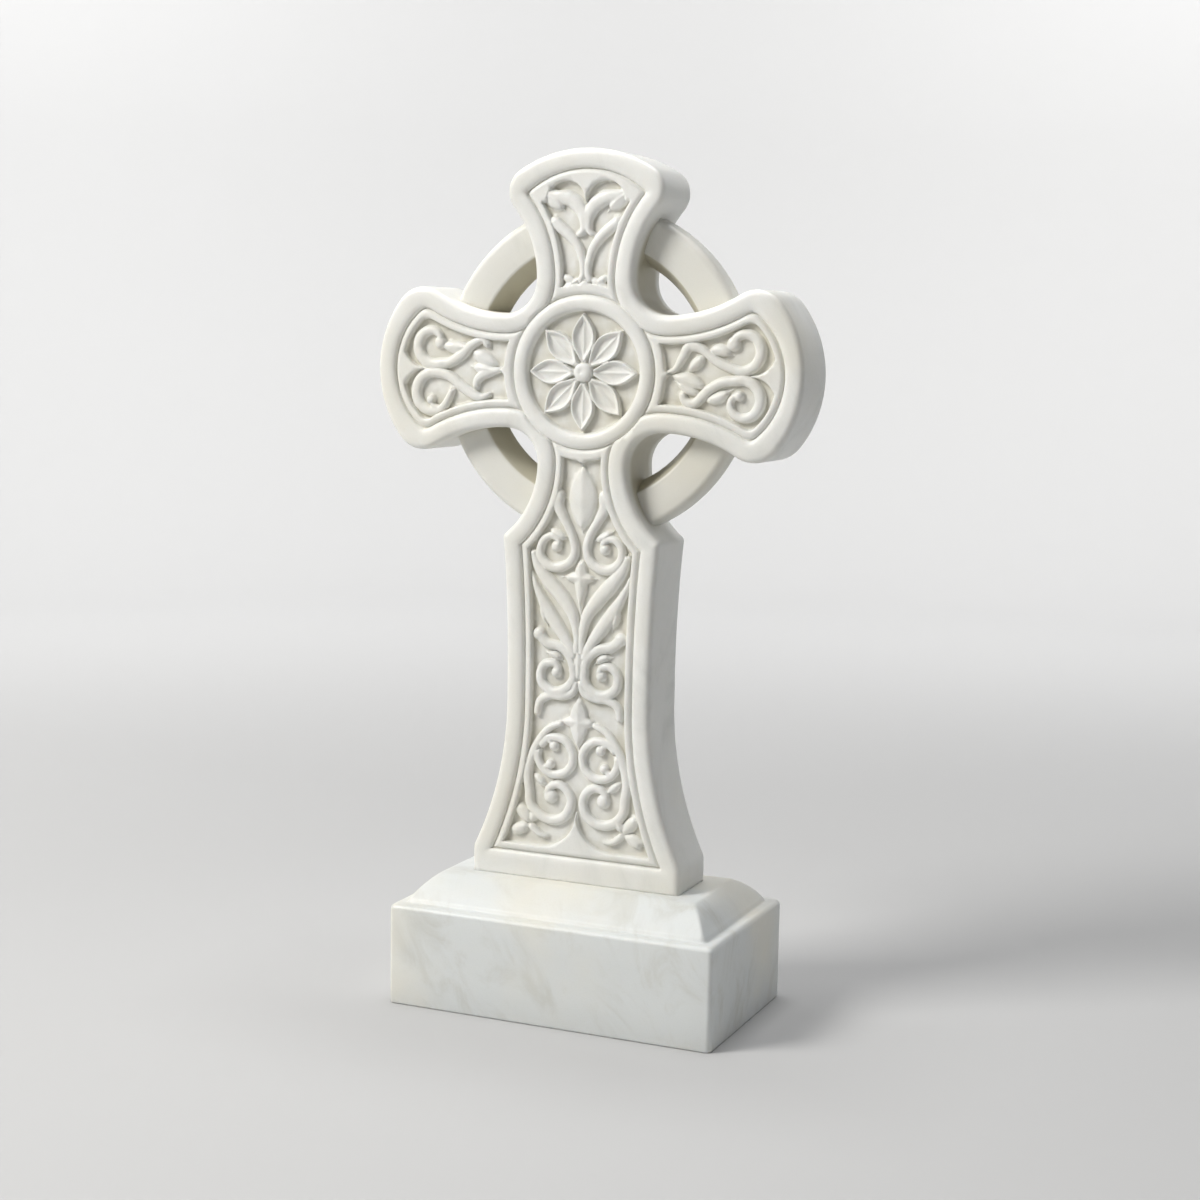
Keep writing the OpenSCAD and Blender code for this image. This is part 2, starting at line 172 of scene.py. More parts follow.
class MarbleLook(bpy.types.PropertyGroup):
    body: colour("Body", "Clean marble", "E8E8E4")
    plinth_body: colour("Plinth body", "The greyer marble of the plinth", "DBDEDD")
    cloud: colour("Cloud", "Pale grey clouding in the marble", "CDCEC9")
    warm: colour("Warm", "Ivory tint where the stone has yellowed", "E4E2D8")
    streak: colour("Streak", "Thin grey streaks in the marble", "B9B8AD")
    # the tint of the hollows: painted shade with some dust in the carving, and painted shade on the ring and
    # on the side walls by its gaps
    shade_and_dust: colour("Recess", "Dust and shade settled in the carving's hollows", "B0AA92")
    shade_and_dust_share: share("Recess strength", "How strongly the hollows are tinted", 0.75)
    roughness: share("Roughness", "Roughness of the honed surface", 0.42)


class StageLook(bpy.types.PropertyGroup):
    azimuth: angle("Azimuth", "How far round to the right the camera stands", 23.49)
    elevation: angle("Elevation", "How far the camera looks down", 7.26)
    roll: angle("Roll", "How far the camera is turned about its own line of sight", 1.03)
    distance: length("Distance", "From the camera to its target", 3038.4)
    target_x: length("Target x", "The target's place to the right of the middle", 11.65)
    target_z: length("Target height", "The target's height", 593.5)
    lens: bpy.props.FloatProperty(name="Lens", description="Focal length", default=63.456, unit="CAMERA")
    floor: colour("Floor", "The pale floor and its backdrop", "BDBDBD")
    floor_r: length("Floor radius", "Radius of the flat part of the floor", 4600)
    cove_r: length("Cove radius", "Radius of the curve up to the backdrop", 1800)
    wall_h: length("Wall height", "Height of the backdrop", 4200)


def in_mm(group):
    """The group's values as plain numbers: lengths in millimetres, the rest as they are."""
    values = SimpleNamespace()
    for name, prop in group.bl_rna.properties.items():
        if name in ("name", "rna_type"):
            continue
        value = getattr(group, name)
        if getattr(prop, "unit", "") == "LENGTH":
            value = round(value / MM, 3)
        setattr(values, name, value)
    return values


def stone_sizes():
    """Outline and carving sizes together, with the centres that are worked out from them."""
    scene = bpy.context.scene
    c = SimpleNamespace(**vars(in_mm(scene.outline_sizes)), **vars(in_mm(scene.carving_sizes)))
    c.half_t = CROSS_HIGH.y / MM
    c.seat_z = CROSS_LOW.z / MM
    c.axis_z = round(CROSS_HIGH.z / MM - c.top_reach, 0)
    c.seat = c.seat_z - c.axis_z                                   # the seat, below the boss centre
    c.crook = c.arm_waist + c.fillet_r
    c.swell = c.seat + c.swell_rise
    c.flare = c.seat + c.flare_rise
    c.arm_hollow = (c.arm_waist_x, c.arm_waist + c.arm_hollow_r)
    c.top_hollow = (c.upper_neck + c.top_hollow_r, c.crook)
    c.neck_hollow = (c.lower_neck + c.neck_hollow_r, -c.crook)
    c.swell_c = (c.shaft_waist + c.swell_r, c.swell)
    c.flare_c = (c.shaft_waist + c.flare_r, c.flare)
    c.arm_panel = (c.arm_reach - c.arm_panel_r - c.roll_w, 0)
    c.top_panel = (0, c.top_reach - c.top_panel_r - c.roll_w)
    c.ground_inset = c.roll_w + c.groove_w + c.band_w
    c.lobe_x = c.arm_reach - c.ground_inset - c.arm_lobe_reach
    c.lobe_r = (c.arm_waist + c.arm_hollow_r - math.sqrt(
        (c.arm_hollow_r + c.ground_inset) ** 2 - (c.lobe_x - c.arm_waist_x) ** 2)) / 2
    c.top_lobe_h = c.top_reach - c.ground_inset - c.top_lobe_r - c.top_lobe_band
    c.foot_h = c.seat + c.foot_border + c.ground_inset - c.roll_w
    c.closing_r = c.boss_r + c.groove_w + c.closing_w
    return c


# ---- plane geometry, in millimetres to the right of and above the boss centre ----

def away(x, h, centre):
    """Distance of every point from a centre."""
    return np.hypot(x - centre[0], h - centre[1])


def smooth(t):
    """A smooth step: 0 below 0, 1 above 1, and 3 t squared less 2 t cubed between them."""
    t = np.clip(t, 0, 1)
    return t * t * (3 - 2 * t)


def meeting(a, ra, b, rb):
    """Where two circles meet, on the left of the way from a to b."""
    a, b = np.array(a, float), np.array(b, float)
    d = np.linalg.norm(b - a)
    u = (b - a) / d
    k = (ra * ra - rb * rb + d * d) / (2 * d)
    return a + u * k + np.array([-u[1], u[0]]) * math.sqrt(ra * ra - k * k)


def bearing(a, b):
    """Direction from a to b, in degrees."""
    return math.degrees(math.atan2(b[1] - a[1], b[0] - a[0]))


def arc(centre, radius, start, end):
    """Points on a circle from one direction to another, no more than half a millimetre apart."""
    count = int(abs(math.radians(end - start)) * radius * 2) + 2
    a = np.radians(np.linspace(start, end, count))
    return np.stack([centre[0] + radius * np.cos(a), centre[1] + radius * np.sin(a)], 1)


def evenly(points, step):
    """The same line with its points the given step apart along it, and that step made to fit."""
    run = np.concatenate([[0], np.cumsum(np.linalg.norm(np.diff(points, axis=0), axis=1))])
    count = max(2, int(round(run[-1] / step)) + 1)
    at = np.linspace(0, run[-1], count)
    return np.stack([np.interp(at, run, points[:, 0]), np.interp(at, run, points[:, 1])], 1)


def mirrored(points):
    """The same points on the other side of the middle."""
    return points * np.array([-1.0, 1.0])


def outline(c, step=3.2):
    """The edge of the cross from the right of the foot, over the crest, to the left of the foot.

    Its right half is a chain of circle arcs and straight lines that touch. The chain is sampled finely,
    each point is averaged with its neighbours under a bell curve as wide as the wear, which rubs the
    corners round, and the result is thinned to the step. Returns the points and their outward normals.
    """
    arm_end = (c.arm_reach - c.arm_end_r, 0)
    top_end = (0, c.top_reach - c.top_end_r)
    corner = meeting(c.arm_hollow, c.arm_hollow_r + c.arm_corner_r, arm_end, c.arm_end_r - c.arm_corner_r)
    crest = meeting(top_end, c.top_end_r - c.top_corner_r, c.top_hollow, c.top_hollow_r + c.top_corner_r)
    shoulder = meeting(c.swell_c, c.swell_r, c.neck_hollow, c.neck_hollow_r)
    out = bearing(arm_end, corner)
    turn = bearing(corner, c.arm_hollow)
    half_foot = c.foot_w / 2
    flare_start = 180 + math.degrees(math.acos((c.flare_c[0] - half_foot) / c.flare_r))
    below = (c.arm_hollow[0], -c.arm_hollow[1])
    chain = np.concatenate([
        [[half_foot, c.seat - 30]],
        arc(c.flare_c, c.flare_r, flare_start, 180),
        arc(c.swell_c, c.swell_r, 180, bearing(c.swell_c, shoulder)),
        arc(c.neck_hollow, c.neck_hollow_r, 360 + bearing(c.neck_hollow, shoulder), 180),
        arc((c.lower_neck + c.fillet_r, -c.crook), c.fillet_r, 180, 90),
        arc(below, c.arm_hollow_r, 90, 180 - turn),
        arc((corner[0], -corner[1]), c.arm_corner_r, -turn, -out),
        arc(arm_end, c.arm_end_r, -out, out),
        arc(corner, c.arm_corner_r, out, turn),
        arc(c.arm_hollow, c.arm_hollow_r, turn - 180, -90),
        arc((c.upper_neck + c.fillet_r, c.crook), c.fillet_r, 270, 180),
        arc(c.top_hollow, c.top_hollow_r, 180, bearing(c.top_hollow, crest)),
        arc(crest, c.top_corner_r, bearing(crest, c.top_hollow), bearing(top_end, crest)),
        arc(top_end, c.top_end_r, bearing(top_end, crest), 90)])
    line = evenly(np.concatenate([chain, mirrored(chain)[-2::-1]]), 0.5)
    spread = np.arange(-20, 21) * 0.5
    bell = np.exp(-0.5 * (spread / c.wear) ** 2)
    padded = np.pad(line, ((20, 20), (0, 0)), mode="edge")
    worn = np.stack([np.convolve(padded[:, i], bell / bell.sum(), mode="valid") for i in (0, 1)], 1)
    worn = evenly(worn[worn[:, 1] > c.seat], step)
    worn[[0, -1], 1] = c.seat
    along = np.gradient(worn, axis=0)
    along /= np.linalg.norm(along, axis=1)[:, None]
    along[[0, -1]] = [[0, 1], [0, -1]]
    return worn, np.stack([along[:, 1], -along[:, 0]], 1)


def least(a, b, blend):
    """The lesser of two fields, less a quarter of the square of (blend - their difference) over the
    blend where they differ by less than the blend, which rounds the corner between them."""
    return np.minimum(a, b) - np.maximum(blend - np.abs(a - b), 0) ** 2 / (4 * blend)


def inset_of(c, x, h):
    """How far each point lies inside the drawn edge, with the limbs' own corners rounded.

    For each limb this is the least distance to the arcs and lines that bound it, and of all limbs the
    greatest. The limbs' ends are struck with the panels' own, rounder arcs.
    """
    x, up = np.abs(x), np.abs(h)
    arm = least(c.arm_panel_r + c.roll_w - away(x, up, c.arm_panel),
                away(x, up, c.arm_hollow) - c.arm_hollow_r, 11)
    arm = np.minimum(arm, np.where(x < c.arm_waist_x, c.arm_waist - up, FAR))
    top = least(c.top_panel_r + c.roll_w - away(x, h, c.top_panel),
                away(x, h, c.top_hollow) - c.top_hollow_r, 5)
    top = np.minimum(top, np.where(h < c.crook, c.upper_neck - x, FAR))
    top = np.where(h < 0, -FAR, top)
    shaft = np.minimum(h - c.seat - c.foot_border + c.roll_w, c.foot_w / 2 - x)
    shaft = np.minimum(shaft, away(x, h, c.flare_c) - c.flare_r)
    shaft = np.minimum(shaft, np.where((h > c.flare) & (h < c.swell), c.shaft_waist - x, FAR))
    shaft = np.minimum(shaft, np.where(h > c.swell, away(x, h, c.swell_c) - c.swell_r, FAR))
    shaft = np.minimum(shaft, away(x, h, c.neck_hollow) - c.neck_hollow_r)
    shaft = np.minimum(shaft, np.where(h > -c.crook, c.lower_neck - x, FAR))
    shaft = np.where(h > 0, -FAR, shaft)
    crooks = [np.where((x < neck + c.fillet_r) & (side * h >= 0) & (up < c.crook),
                       away(x, up, (neck + c.fillet_r, c.crook)) - c.fillet_r, -FAR)
              for neck, side in ((c.upper_neck, 1), (c.lower_neck, -1))]
    return np.maximum.reduce([arm, top, shaft] + crooks)


def ground_of(c, x, h):
    """How far each point lies inside the sunk ground of its panel.

    The ground is the panel inside its band, less the boss with its closing band, less the braces
    that end the side and top panels in two lobes and the foot in a pointed spandrel.
    """
    ax, ah = np.abs(x), np.abs(h)
    r = np.hypot(x, h)
    point = c.point_rise * np.clip(1 - np.minimum(ax, ah) / 9, 0, 1) ** 2
    g = np.minimum(inset_of(c, x, h) - c.ground_inset, r - c.closing_r - point)
    lobe = c.lobe_r - away(ax, ah, (c.lobe_x, c.lobe_r))
    g = np.minimum(g, np.where(ax > c.lobe_x, lobe, away(ax, ah, (c.lobe_x, 0))))
    lobe = c.top_lobe_r - away(ax, h, (c.top_lobe_r, c.top_lobe_h))
    g = np.minimum(g, np.where(h > c.top_lobe_h, lobe, away(ax, h, (0, c.top_lobe_h))))
    cusp_h = c.foot_h + c.foot_cusp
    bay = np.where(ax < c.foot_cusp, c.foot_cusp - away(ax, h, (c.foot_cusp, cusp_h)), FAR)
    return np.minimum(g, np.where(h < cusp_h, bay, away(ax, h, (0, cusp_h))))


# ---- the carving: strokes drawn about the boss centre ----
# A stem is a smooth line with widths spaced evenly along it and the radius of the bead it curls up to.
# A leaf is pointed at both ends and widest at a share of its length.

def stem(points, widths, bead=0.0):
    """A stem stroke."""
    return SimpleNamespace(points=np.array(points, float), widths=widths, bead=bead, widest=0.0)


def coil(x, h, start, end, first_r, last_r):
    """Points of a curl about a centre, from one direction in degrees to another. The radius falls from
    the first to the last with the square of the share of the turn."""
    t = np.linspace(0, 1, max(4, int(abs(end - start) / 24)))
    a = np.radians(start + (end - start) * t)
    r = first_r + (last_r - first_r) * t * t
    return list(zip(x + r * np.cos(a), h + r * np.sin(a)))


def leaf(start, end, half_w, bend=0.0, widest=0.5):
    """A leaf stroke, whose middle is bent sideways."""
    a, b = np.array(start, float), np.array(end, float)
    side = np.array([-(b - a)[1], (b - a)[0]]) / np.linalg.norm(b - a)
    points = np.array([a, (a + b) / 2 + side * bend, b])
    return SimpleNamespace(points=points, widths=(2 * half_w, 2 * half_w), bead=0.0, widest=widest)


def other_side(stroke):
    """The stroke's mirror image."""
    return SimpleNamespace(**{**vars(stroke), "points": mirrored(stroke.points)})


TOP_VINES = [
    stem([(15, 188), (5, 196), (3, 213), (11, 229), (27, 240), (46, 244), (62, 250)],
         (6, 13, 19, 22, 22, 17, 6)),
    leaf((70, 250), (34, 223), 13, -3),
    stem([(52, 213), (40, 202), (24, 189), (11, 172), (5, 154), (4, 136), (9, 124)],
         (16, 17, 15, 13, 11, 10)),
    leaf((3, 133), (42, 110), 7),
    leaf((12, 120), (38, 135), 6)]
RIGHT_ARM_VINES = [
    stem([(122, 2), (138, 8), (148, 24), (158, 39), (176, 36), (198, 20)] + coil(235, 36, -112, 150, 29, 15),
         (4, 12, 16, 13, 14, 14, 16, 17, 14, 14), 10.5),
    leaf((184, 32), (222, 28), 9, 5),
    leaf((156, 4), (182, 28), 8.5),
    leaf((130, -1), (186, -18), 10.5, 2),
    leaf((136, -8), (180, -28), 7, -2),
    stem([(148, -22), (153, -36), (168, -38), (187, -20), (206, -9)] + coil(235, -34, 105, -245, 29, 8),
         (12, 14, 15, 14, 15, 17, 17, 14, 12, 9), 7.5),
    leaf((180, -36), (220, -19), 8.5, -3)]
LEFT_ARM_VINES = [
    leaf((-124, 3), (-176, 26), 11, 1, 0.62),
    leaf((-126, 0), (-176, 4), 9, 1, 0.62),
    stem([(-146, 38), (-160, 42), (-176, 35), (-190, 22), (-210, 10)] + coil(-236, 35, -75, -345, 29, 10),
         (6, 13, 16, 16, 17, 18, 18, 14, 10), 9.5),
    leaf((-168, 36), (-226, 34), 10, 4, 0.6),
    leaf((-160, 46), (-146, 30), 6),
    stem([(-122, 0), (-140, -1), (-158, -7), (-168, -18), (-166, -28)], (4, 11, 16, 14, 10)),
    leaf((-134, -4), (-170, -14), 7, -3),
    stem([(-144, -34), (-164, -39), (-188, -27), (-210, -11)]
         + coil(-236, -35, 75, 330, 30, 24) + [(-205, -27)],
         (6, 14, 16, 15, 16, 18, 18, 15, 13, 10)),
    stem([(-224, -58), (-236, -54), (-241, -45)], (10, 8), 7.5)]
UPPER_VINES = [
    stem([(33, -168), (36, -188), (27, -206), (15, -226)] + coil(40, -248, 172, 530, 31, 3),
         (21, 17, 13, 13, 14, 15, 15, 13, 11, 9), 8.5),
    leaf((50, -221), (20, -236), 7, 2),
    leaf((24, -176), (46, -162), 6),
    stem([(74, -254), (66, -274), (48, -297), (28, -320), (11, -344), (5, -372), (4, -402)],
         (8, 18, 23, 22, 17, 12, 10))]
MIDDLE_VINES = [
    stem([(76, -284), (70, -304), (54, -332), (36, -358), (18, -384), (7, -408)], (3, 12, 20, 21, 17, 12)),
    leaf((60, -322), (50, -364), 6, 2),
    stem([(7, -426), (14, -404), (30, -391), (50, -386), (64, -374)], (12, 14, 15, 16, 16), 10),
    stem([(6, -410)] + coil(38, -429, 165, 530, 30, 3), (12, 15, 16, 15, 13, 10), 8.5),
    leaf((24, -412), (52, -400), 6, 3),
    stem([(2, -436), (8, -454), (24, -461), (46, -463), (61, -472), (66, -493)], (8, 12, 13, 13, 13, 10))]
LOWER_VINES = [
    stem([(22, -499), (46, -511), (67, -542), (77, -580)] + coil(38, -610, 8, -350, 37, 4),
         (8, 12, 14, 15, 15, 15, 15, 13, 11), 11),
    stem(coil(35, -550, 25, -340, 28, 27), (12, 13, 13, 13, 12)),
    stem([(56, -534), (46, -527), (36, -536)], (8, 9, 8), 8),
    stem([(60, -562), (52, -569), (42, -562)], (8, 9, 8), 7.5),
    leaf((46, -598), (70, -578), 6),
    stem([(44, -669), (58, -667), (74, -655)], (6, 10, 12)),
    leaf((68, -658), (96, -626), 10, 0, 0.6),
    leaf((70, -652), (104, -668), 9.5, 0, 0.6),
    leaf((76, -656), (60, -630), 8, 0, 0.6)]
MIDDLE_LEAVES = [
    leaf((2, -128), (2, -226), 22),
    leaf((1, -266), (1, -348), 11, 0, 0.3),
    leaf((-27, -290), (27, -290), 10),
    leaf((0, -386), (0, -444), 10),
    leaf((1, -460), (1, -540), 15, 0, 0.46),
    leaf((-29, -498), (30, -498), 11)]


def all_strokes():
    """Every stroke: those of the side arms as drawn, and the others on both sides of the middle.

    The left hand copy is carved a touch off the right one, by up to a millimetre.
    """
    random = np.random.default_rng(7)
    paired = TOP_VINES + UPPER_VINES + MIDDLE_VINES + LOWER_VINES
    left = [other_side(stroke) for stroke in paired]
    for stroke in left:
        stroke.points = stroke.points + random.uniform(-1.0, 1.0, stroke.points.shape)
    return MIDDLE_LEAVES + paired + left + RIGHT_ARM_VINES + LEFT_ARM_VINES


def centre_line(stroke, step=2.2):
    """Points along a stroke and its half width at each, and the direction of travel.

    Between each two of the drawn points the line is a cubic whose slope at a point is half the way
    between that point's neighbours. A stem's width goes evenly from each of its widths to the next,
    and its ends are tapered round. A leaf's half width is a sine to the power 1.35 that peaks
    where it is widest.
    """
    p = stroke.points
    before = np.vstack([2 * p[:1] - p[1:2], p[:-2]]) if len(p) > 2 else p[:-1]
    after = np.vstack([p[2:], 2 * p[-1:] - p[-2:-1]]) if len(p) > 2 else p[1:]
    t = np.linspace(0, 1, 24, endpoint=False)[None, :, None]
    a, b, d, e = before[:, None], p[:-1, None], p[1:, None], after[:, None]
    fine = 0.5 * (2 * b + (d - a) * t + (2 * a - 5 * b + 4 * d - e) * t ** 2
                  + (3 * b - a - 3 * d + e) * t ** 3)
    line = evenly(np.vstack([fine.reshape(-1, 2), p[-1:]]), step)
    t = np.linspace(0, 1, len(line))
    half = np.interp(t, np.linspace(0, 1, len(stroke.widths)), stroke.widths) / 2
    if stroke.widest:
        half = half * np.maximum(np.sin(np.pi * t ** (math.log(0.5) / math.log(stroke.widest))) ** 1.35, 0.03)
    else:
        run = np.linalg.norm(line - line[0], axis=1)
        half = half * np.sqrt(np.clip(run / (0.5 * stroke.widths[0]), 0.12, 1))
        if not stroke.bead:
            left = np.linalg.norm(line - line[-1], axis=1)
            half = half * np.sqrt(np.clip(left / (0.5 * stroke.widths[-1]), 0.12, 1))
    along = np.gradient(line, axis=0)
    along /= np.linalg.norm(along, axis=1)[:, None]
    return line, half, along


def stroke_points(stroke):
    """Mesh points laid along a stroke: rows at fixed shares of its half width, and rings on its bead."""
    line, half, along = centre_line(stroke)
    side = np.stack([-along[:, 1], along[:, 0]], 1)
    rows = [line]
    for s in (0.4, 0.74, 0.93, 1.03):
        for sign in (-1, 1):
            rows.append(line + side * (sign * s * half)[:, None])
    for sign in (-1, 1):
        rows.append(line + side * (sign * (1.02 * half + 1.1))[:, None])
    if stroke.bead:
        for s in (0.01, 0.35, 0.65, 0.88, 1.02):
            rows.append(line[-1] + arc((0, 0), stroke.bead * s, 0, 360)[::max(1, int(4 * s) + 1)])
    return np.concatenate(rows)


def carved_height(c, x, h):
    """Height of the vines above their ground at every point, and 0 where there is none.

    For a stem it is the full height times (1 - q to the power 3) to the power 0.55, where q is the
    distance from its line as a share of its half width. A leaf has a ridge along its line, and a bead
    is a low dome. Where strokes meet, the higher one shows.
    """
    full = c.ground_d - c.vine_d
    height = np.zeros_like(x)
    for stroke in all_strokes():
        line, half, _ = centre_line(stroke)
        reach = max(half.max(), stroke.bead) + 1
        low, high = line.min(0) - reach, line.max(0) + reach
        near = np.nonzero((x > low[0]) & (x < high[0]) & (h > low[1]) & (h < high[1]))[0]
        if not len(near):
            continue
        p = np.stack([x[near], h[near]], 1)[:, None]
        a, way = line[:-1][None], np.diff(line, axis=0)[None]
        t = np.clip(((p - a) * way).sum(2) / (way ** 2).sum(2), 0, 1)
        off = np.linalg.norm(p - a - t[..., None] * way, axis=2)
        wide = half[:-1][None] * (1 - t) + half[1:][None] * t
        q = off / wide
        nearest = q.argmin(1)
        rows = np.arange(len(near))
        q, wide = np.minimum(q[rows, nearest], 1), wide[rows, nearest]
        tall = full * np.clip(wide / 4.5, 0.3, 1) * np.clip(0.8 + wide / 45, 0.8, 1)
        if stroke.widest:
            rise = tall * (1 - 0.5 * q) * (1 - q ** 14)
        else:
            rise = tall * (1 - q ** 3) ** 0.55
        if stroke.bead:
            s = np.minimum(np.hypot(*(p[:, 0] - line[-1]).T) / stroke.bead, 1)
            dome = (full + 0.6) * (1 - s ** 2.4) ** 0.55
            rise = np.maximum(rise, dome)
        height[near] = np.maximum(height[near], rise)
    return height


# ---- the relief of the front ----

def petal_place(c, x, h):
    """Each point in the frame of its nearest petal: distance out along the petal and to its side."""
    pitch = 2 * math.pi / c.petals
    turn = np.arctan2(x, h)
    turn = turn - pitch * np.round(turn / pitch)
    r = np.hypot(x, h)
    return r * np.cos(turn), r * np.sin(turn)


def petal_inset(c, u, v):
    """How far each point lies inside a petal, measured square to its edge.

    The half width is petal_w times the sine of pi times s to the power 1.12, where s runs from 0 at the
    button to 1 at the tip, which puts the widest part a little past the middle.
    """
    start = c.button_r * 0.6
    s = np.clip((u - start) / (c.petal_tip_r - start), 1e-4, 1)
    wide = c.petal_w * np.sin(np.pi * s ** 1.12)
    slope = c.petal_w * np.pi * 1.12 * s ** 0.12 * np.cos(np.pi * s ** 1.12) / (c.petal_tip_r - start)
    inside = (wide - np.abs(v)) / np.sqrt(1 + slope ** 2)
    beyond = -np.hypot(v, np.maximum(u - c.petal_tip_r, 0)) - 0.01
    return np.where((u > start) & (u < c.petal_tip_r), inside, beyond)


def boss_depth(c, x, h):
    """Depth of the boss below the face: a crowned ring, a dished ground, petals with raised rims,
    hollows and ribs, and a button with a small dimple."""
    r = np.hypot(x, h)
    w = (c.boss_r - c.boss_inner_r) / 2
    u = np.clip((r - c.boss_inner_r - w) / w, -1, 1)
    ring = c.boss_crown * (1 - np.sqrt(1 - u * u))
    ring = ring + (c.dish_d - c.boss_crown) * smooth((c.boss_inner_r - r) / 2.0)
    u, v = petal_place(c, x, h)
    inside = petal_inset(c, u, v)
    rim_top, hollow_top, rib_w, rib_rise = 2.6, 7.8, 1.5, 1.5
    rise = smooth((inside + 0.5) / 1.7)
    sunk = smooth((inside - 0.45 * c.petal_rim) / (0.34 * c.petal_w))
    rib = np.exp(-(v / rib_w) ** 2) * smooth((inside - 3) / 4)
    petal = c.dish_d + (rim_top - c.dish_d) * rise + (hollow_top - rim_top) * sunk - rib_rise * rib
    petal = np.where(r < c.boss_inner_r, petal, FAR)
    q = np.clip(r / c.button_r, 0, 1)
    button_top, button_fall, groove_top = 0.8, 5.5, 8.4
    dimple, dimple_w, dimple_d = (-2.0, 1.0), 3.2, 1.8
    button = button_top + button_fall * (1 - np.sqrt(1 - q ** 3.6))
    button = button + dimple_d * np.exp(-(away(x, h, dimple) / dimple_w) ** 2)
    groove = groove_top + (c.dish_d - groove_top) * 0.3
    centre = np.where(r < c.button_r, button, groove)
    wide = smooth((r - c.button_r - 1.2) / 1.6)
    around = np.minimum(ring, petal)
    return np.where(r < c.button_r + 2.8, centre * (1 - wide) + around * wide, around)


def relief(c, x, h, rim):
    """Depth of every point of the front below the face, given its distance from the worn edge.

    From the edge inwards: a quarter round, the roll, which falls to its groove as a quarter ellipse,
    the groove, the band, a wall down to the ground, and on the ground the vines.
    """
    e = inset_of(c, x, h)
    r = np.hypot(x, h)
    left = c.edge_r - np.clip(rim, 0, c.edge_r)
    edge = c.edge_r - np.sqrt(np.maximum(c.edge_r ** 2 - left ** 2, 0))
    t = np.clip((e - c.roll_w + c.roll_fall_w) / c.roll_fall_w, 0, 1)
    roll = edge + c.roll_fall_d * (1 - np.sqrt(1 - t * t)) + 0.5 * smooth(1 - rim / (1.8 * c.edge_r))
    notch = (c.boss_crown - 1) * (1 - smooth((r - c.boss_r) / 3.2))
    roll = np.maximum(roll, notch)
    past = np.minimum(e - c.roll_w, r - c.boss_r)
    band = c.groove_d - (c.groove_d - c.band_d) * smooth((past / c.groove_w - 0.45) / 0.8)
    g = ground_of(c, x, h)
    tool_d = 0.22                          # the uneven depth that the chisel leaves in the ground
    waves = tool_d * np.sin(x * 0.31 + 1.3 * np.sin(h * 0.11)) * np.sin(h * 0.27 + 1.1 * np.sin(x * 0.13))
    floor = c.ground_d + waves
    panel = band + (floor - c.band_d) * smooth((g + 0.7) / 2.6)
    height = carved_height(c, x, h)
    panel = np.where((height > 0) & (g > -3.0), np.minimum(panel, floor - height), panel)
    depth = np.where(past > 0, panel, roll)
    return np.where(r < c.boss_r, boss_depth(c, x, h), depth)


# ---- points of the front mesh ----

def circle(centre, radius, step):
    """Points all round a circle, at angles that stay the same for nearby radii of one centre."""
    count = int(2 * math.pi * max(radius, 1.0) / step)
    count = max(12, 16 * round(count / 16))
    a = 2 * math.pi * np.arange(count) / count
    return np.stack([centre[0] + radius * np.cos(a), centre[1] + radius * np.sin(a)], 1)


def candidate_points(c, inset, step=3.2):
    """Points on every arc and line that can bound the cross at an inset, on both sides of the middle."""
    hollow, arm = c.arm_hollow, c.arm_panel
    places = [circle(arm, c.arm_panel_r + c.roll_w - inset, step),
              circle(hollow, c.arm_hollow_r + inset, step),
              circle((hollow[0], -hollow[1]), c.arm_hollow_r + inset, step),
              circle(c.top_panel, c.top_panel_r + c.roll_w - inset, step),
              circle(c.top_hollow, c.top_hollow_r + inset, step),
              circle(c.neck_hollow, c.neck_hollow_r + inset, step),
              circle((c.upper_neck + c.fillet_r, c.crook), c.fillet_r + inset, step),
              circle((c.lower_neck + c.fillet_r, -c.crook), c.fillet_r + inset, step),
              circle(c.swell_c, c.swell_r + inset, step),
              circle(c.flare_c, c.flare_r + inset, step)]
    h = np.arange(c.seat, c.crook + 1, step)
    for x in (c.shaft_waist, c.upper_neck, c.lower_neck, c.foot_w / 2):
        places.append(np.stack([np.full_like(h, x - inset), h], 1))
    x = np.arange(0, c.foot_w / 2, step)
    for y in (c.arm_waist - inset, inset - c.arm_waist, c.seat + c.foot_border - c.roll_w + inset):
        places.append(np.stack([x, np.full_like(x, y)], 1))
    points = np.concatenate(places)
    points = points[(points[:, 0] >= 0) & (points[:, 0] < c.arm_reach) & (points[:, 1] > c.seat)]
    return np.concatenate([points, mirrored(points)])


def settled(field, c, value, points):
    """The points near the line where the field has the value, moved square onto that line."""
    points = points[np.abs(field(c, *points.T) - value) < 2.5]
    for _ in range(3):
        x, h = points.T
        off = field(c, x, h) - value
        slope = np.stack([field(c, x + 0.05, h) - field(c, x - 0.05, h),
                          field(c, x, h + 0.05) - field(c, x, h - 0.05)], 1) / 0.1
        points = points - slope * (off / np.maximum((slope ** 2).sum(1), 0.25))[:, None]
    return points[np.abs(field(c, *points.T) - value) < 0.04]


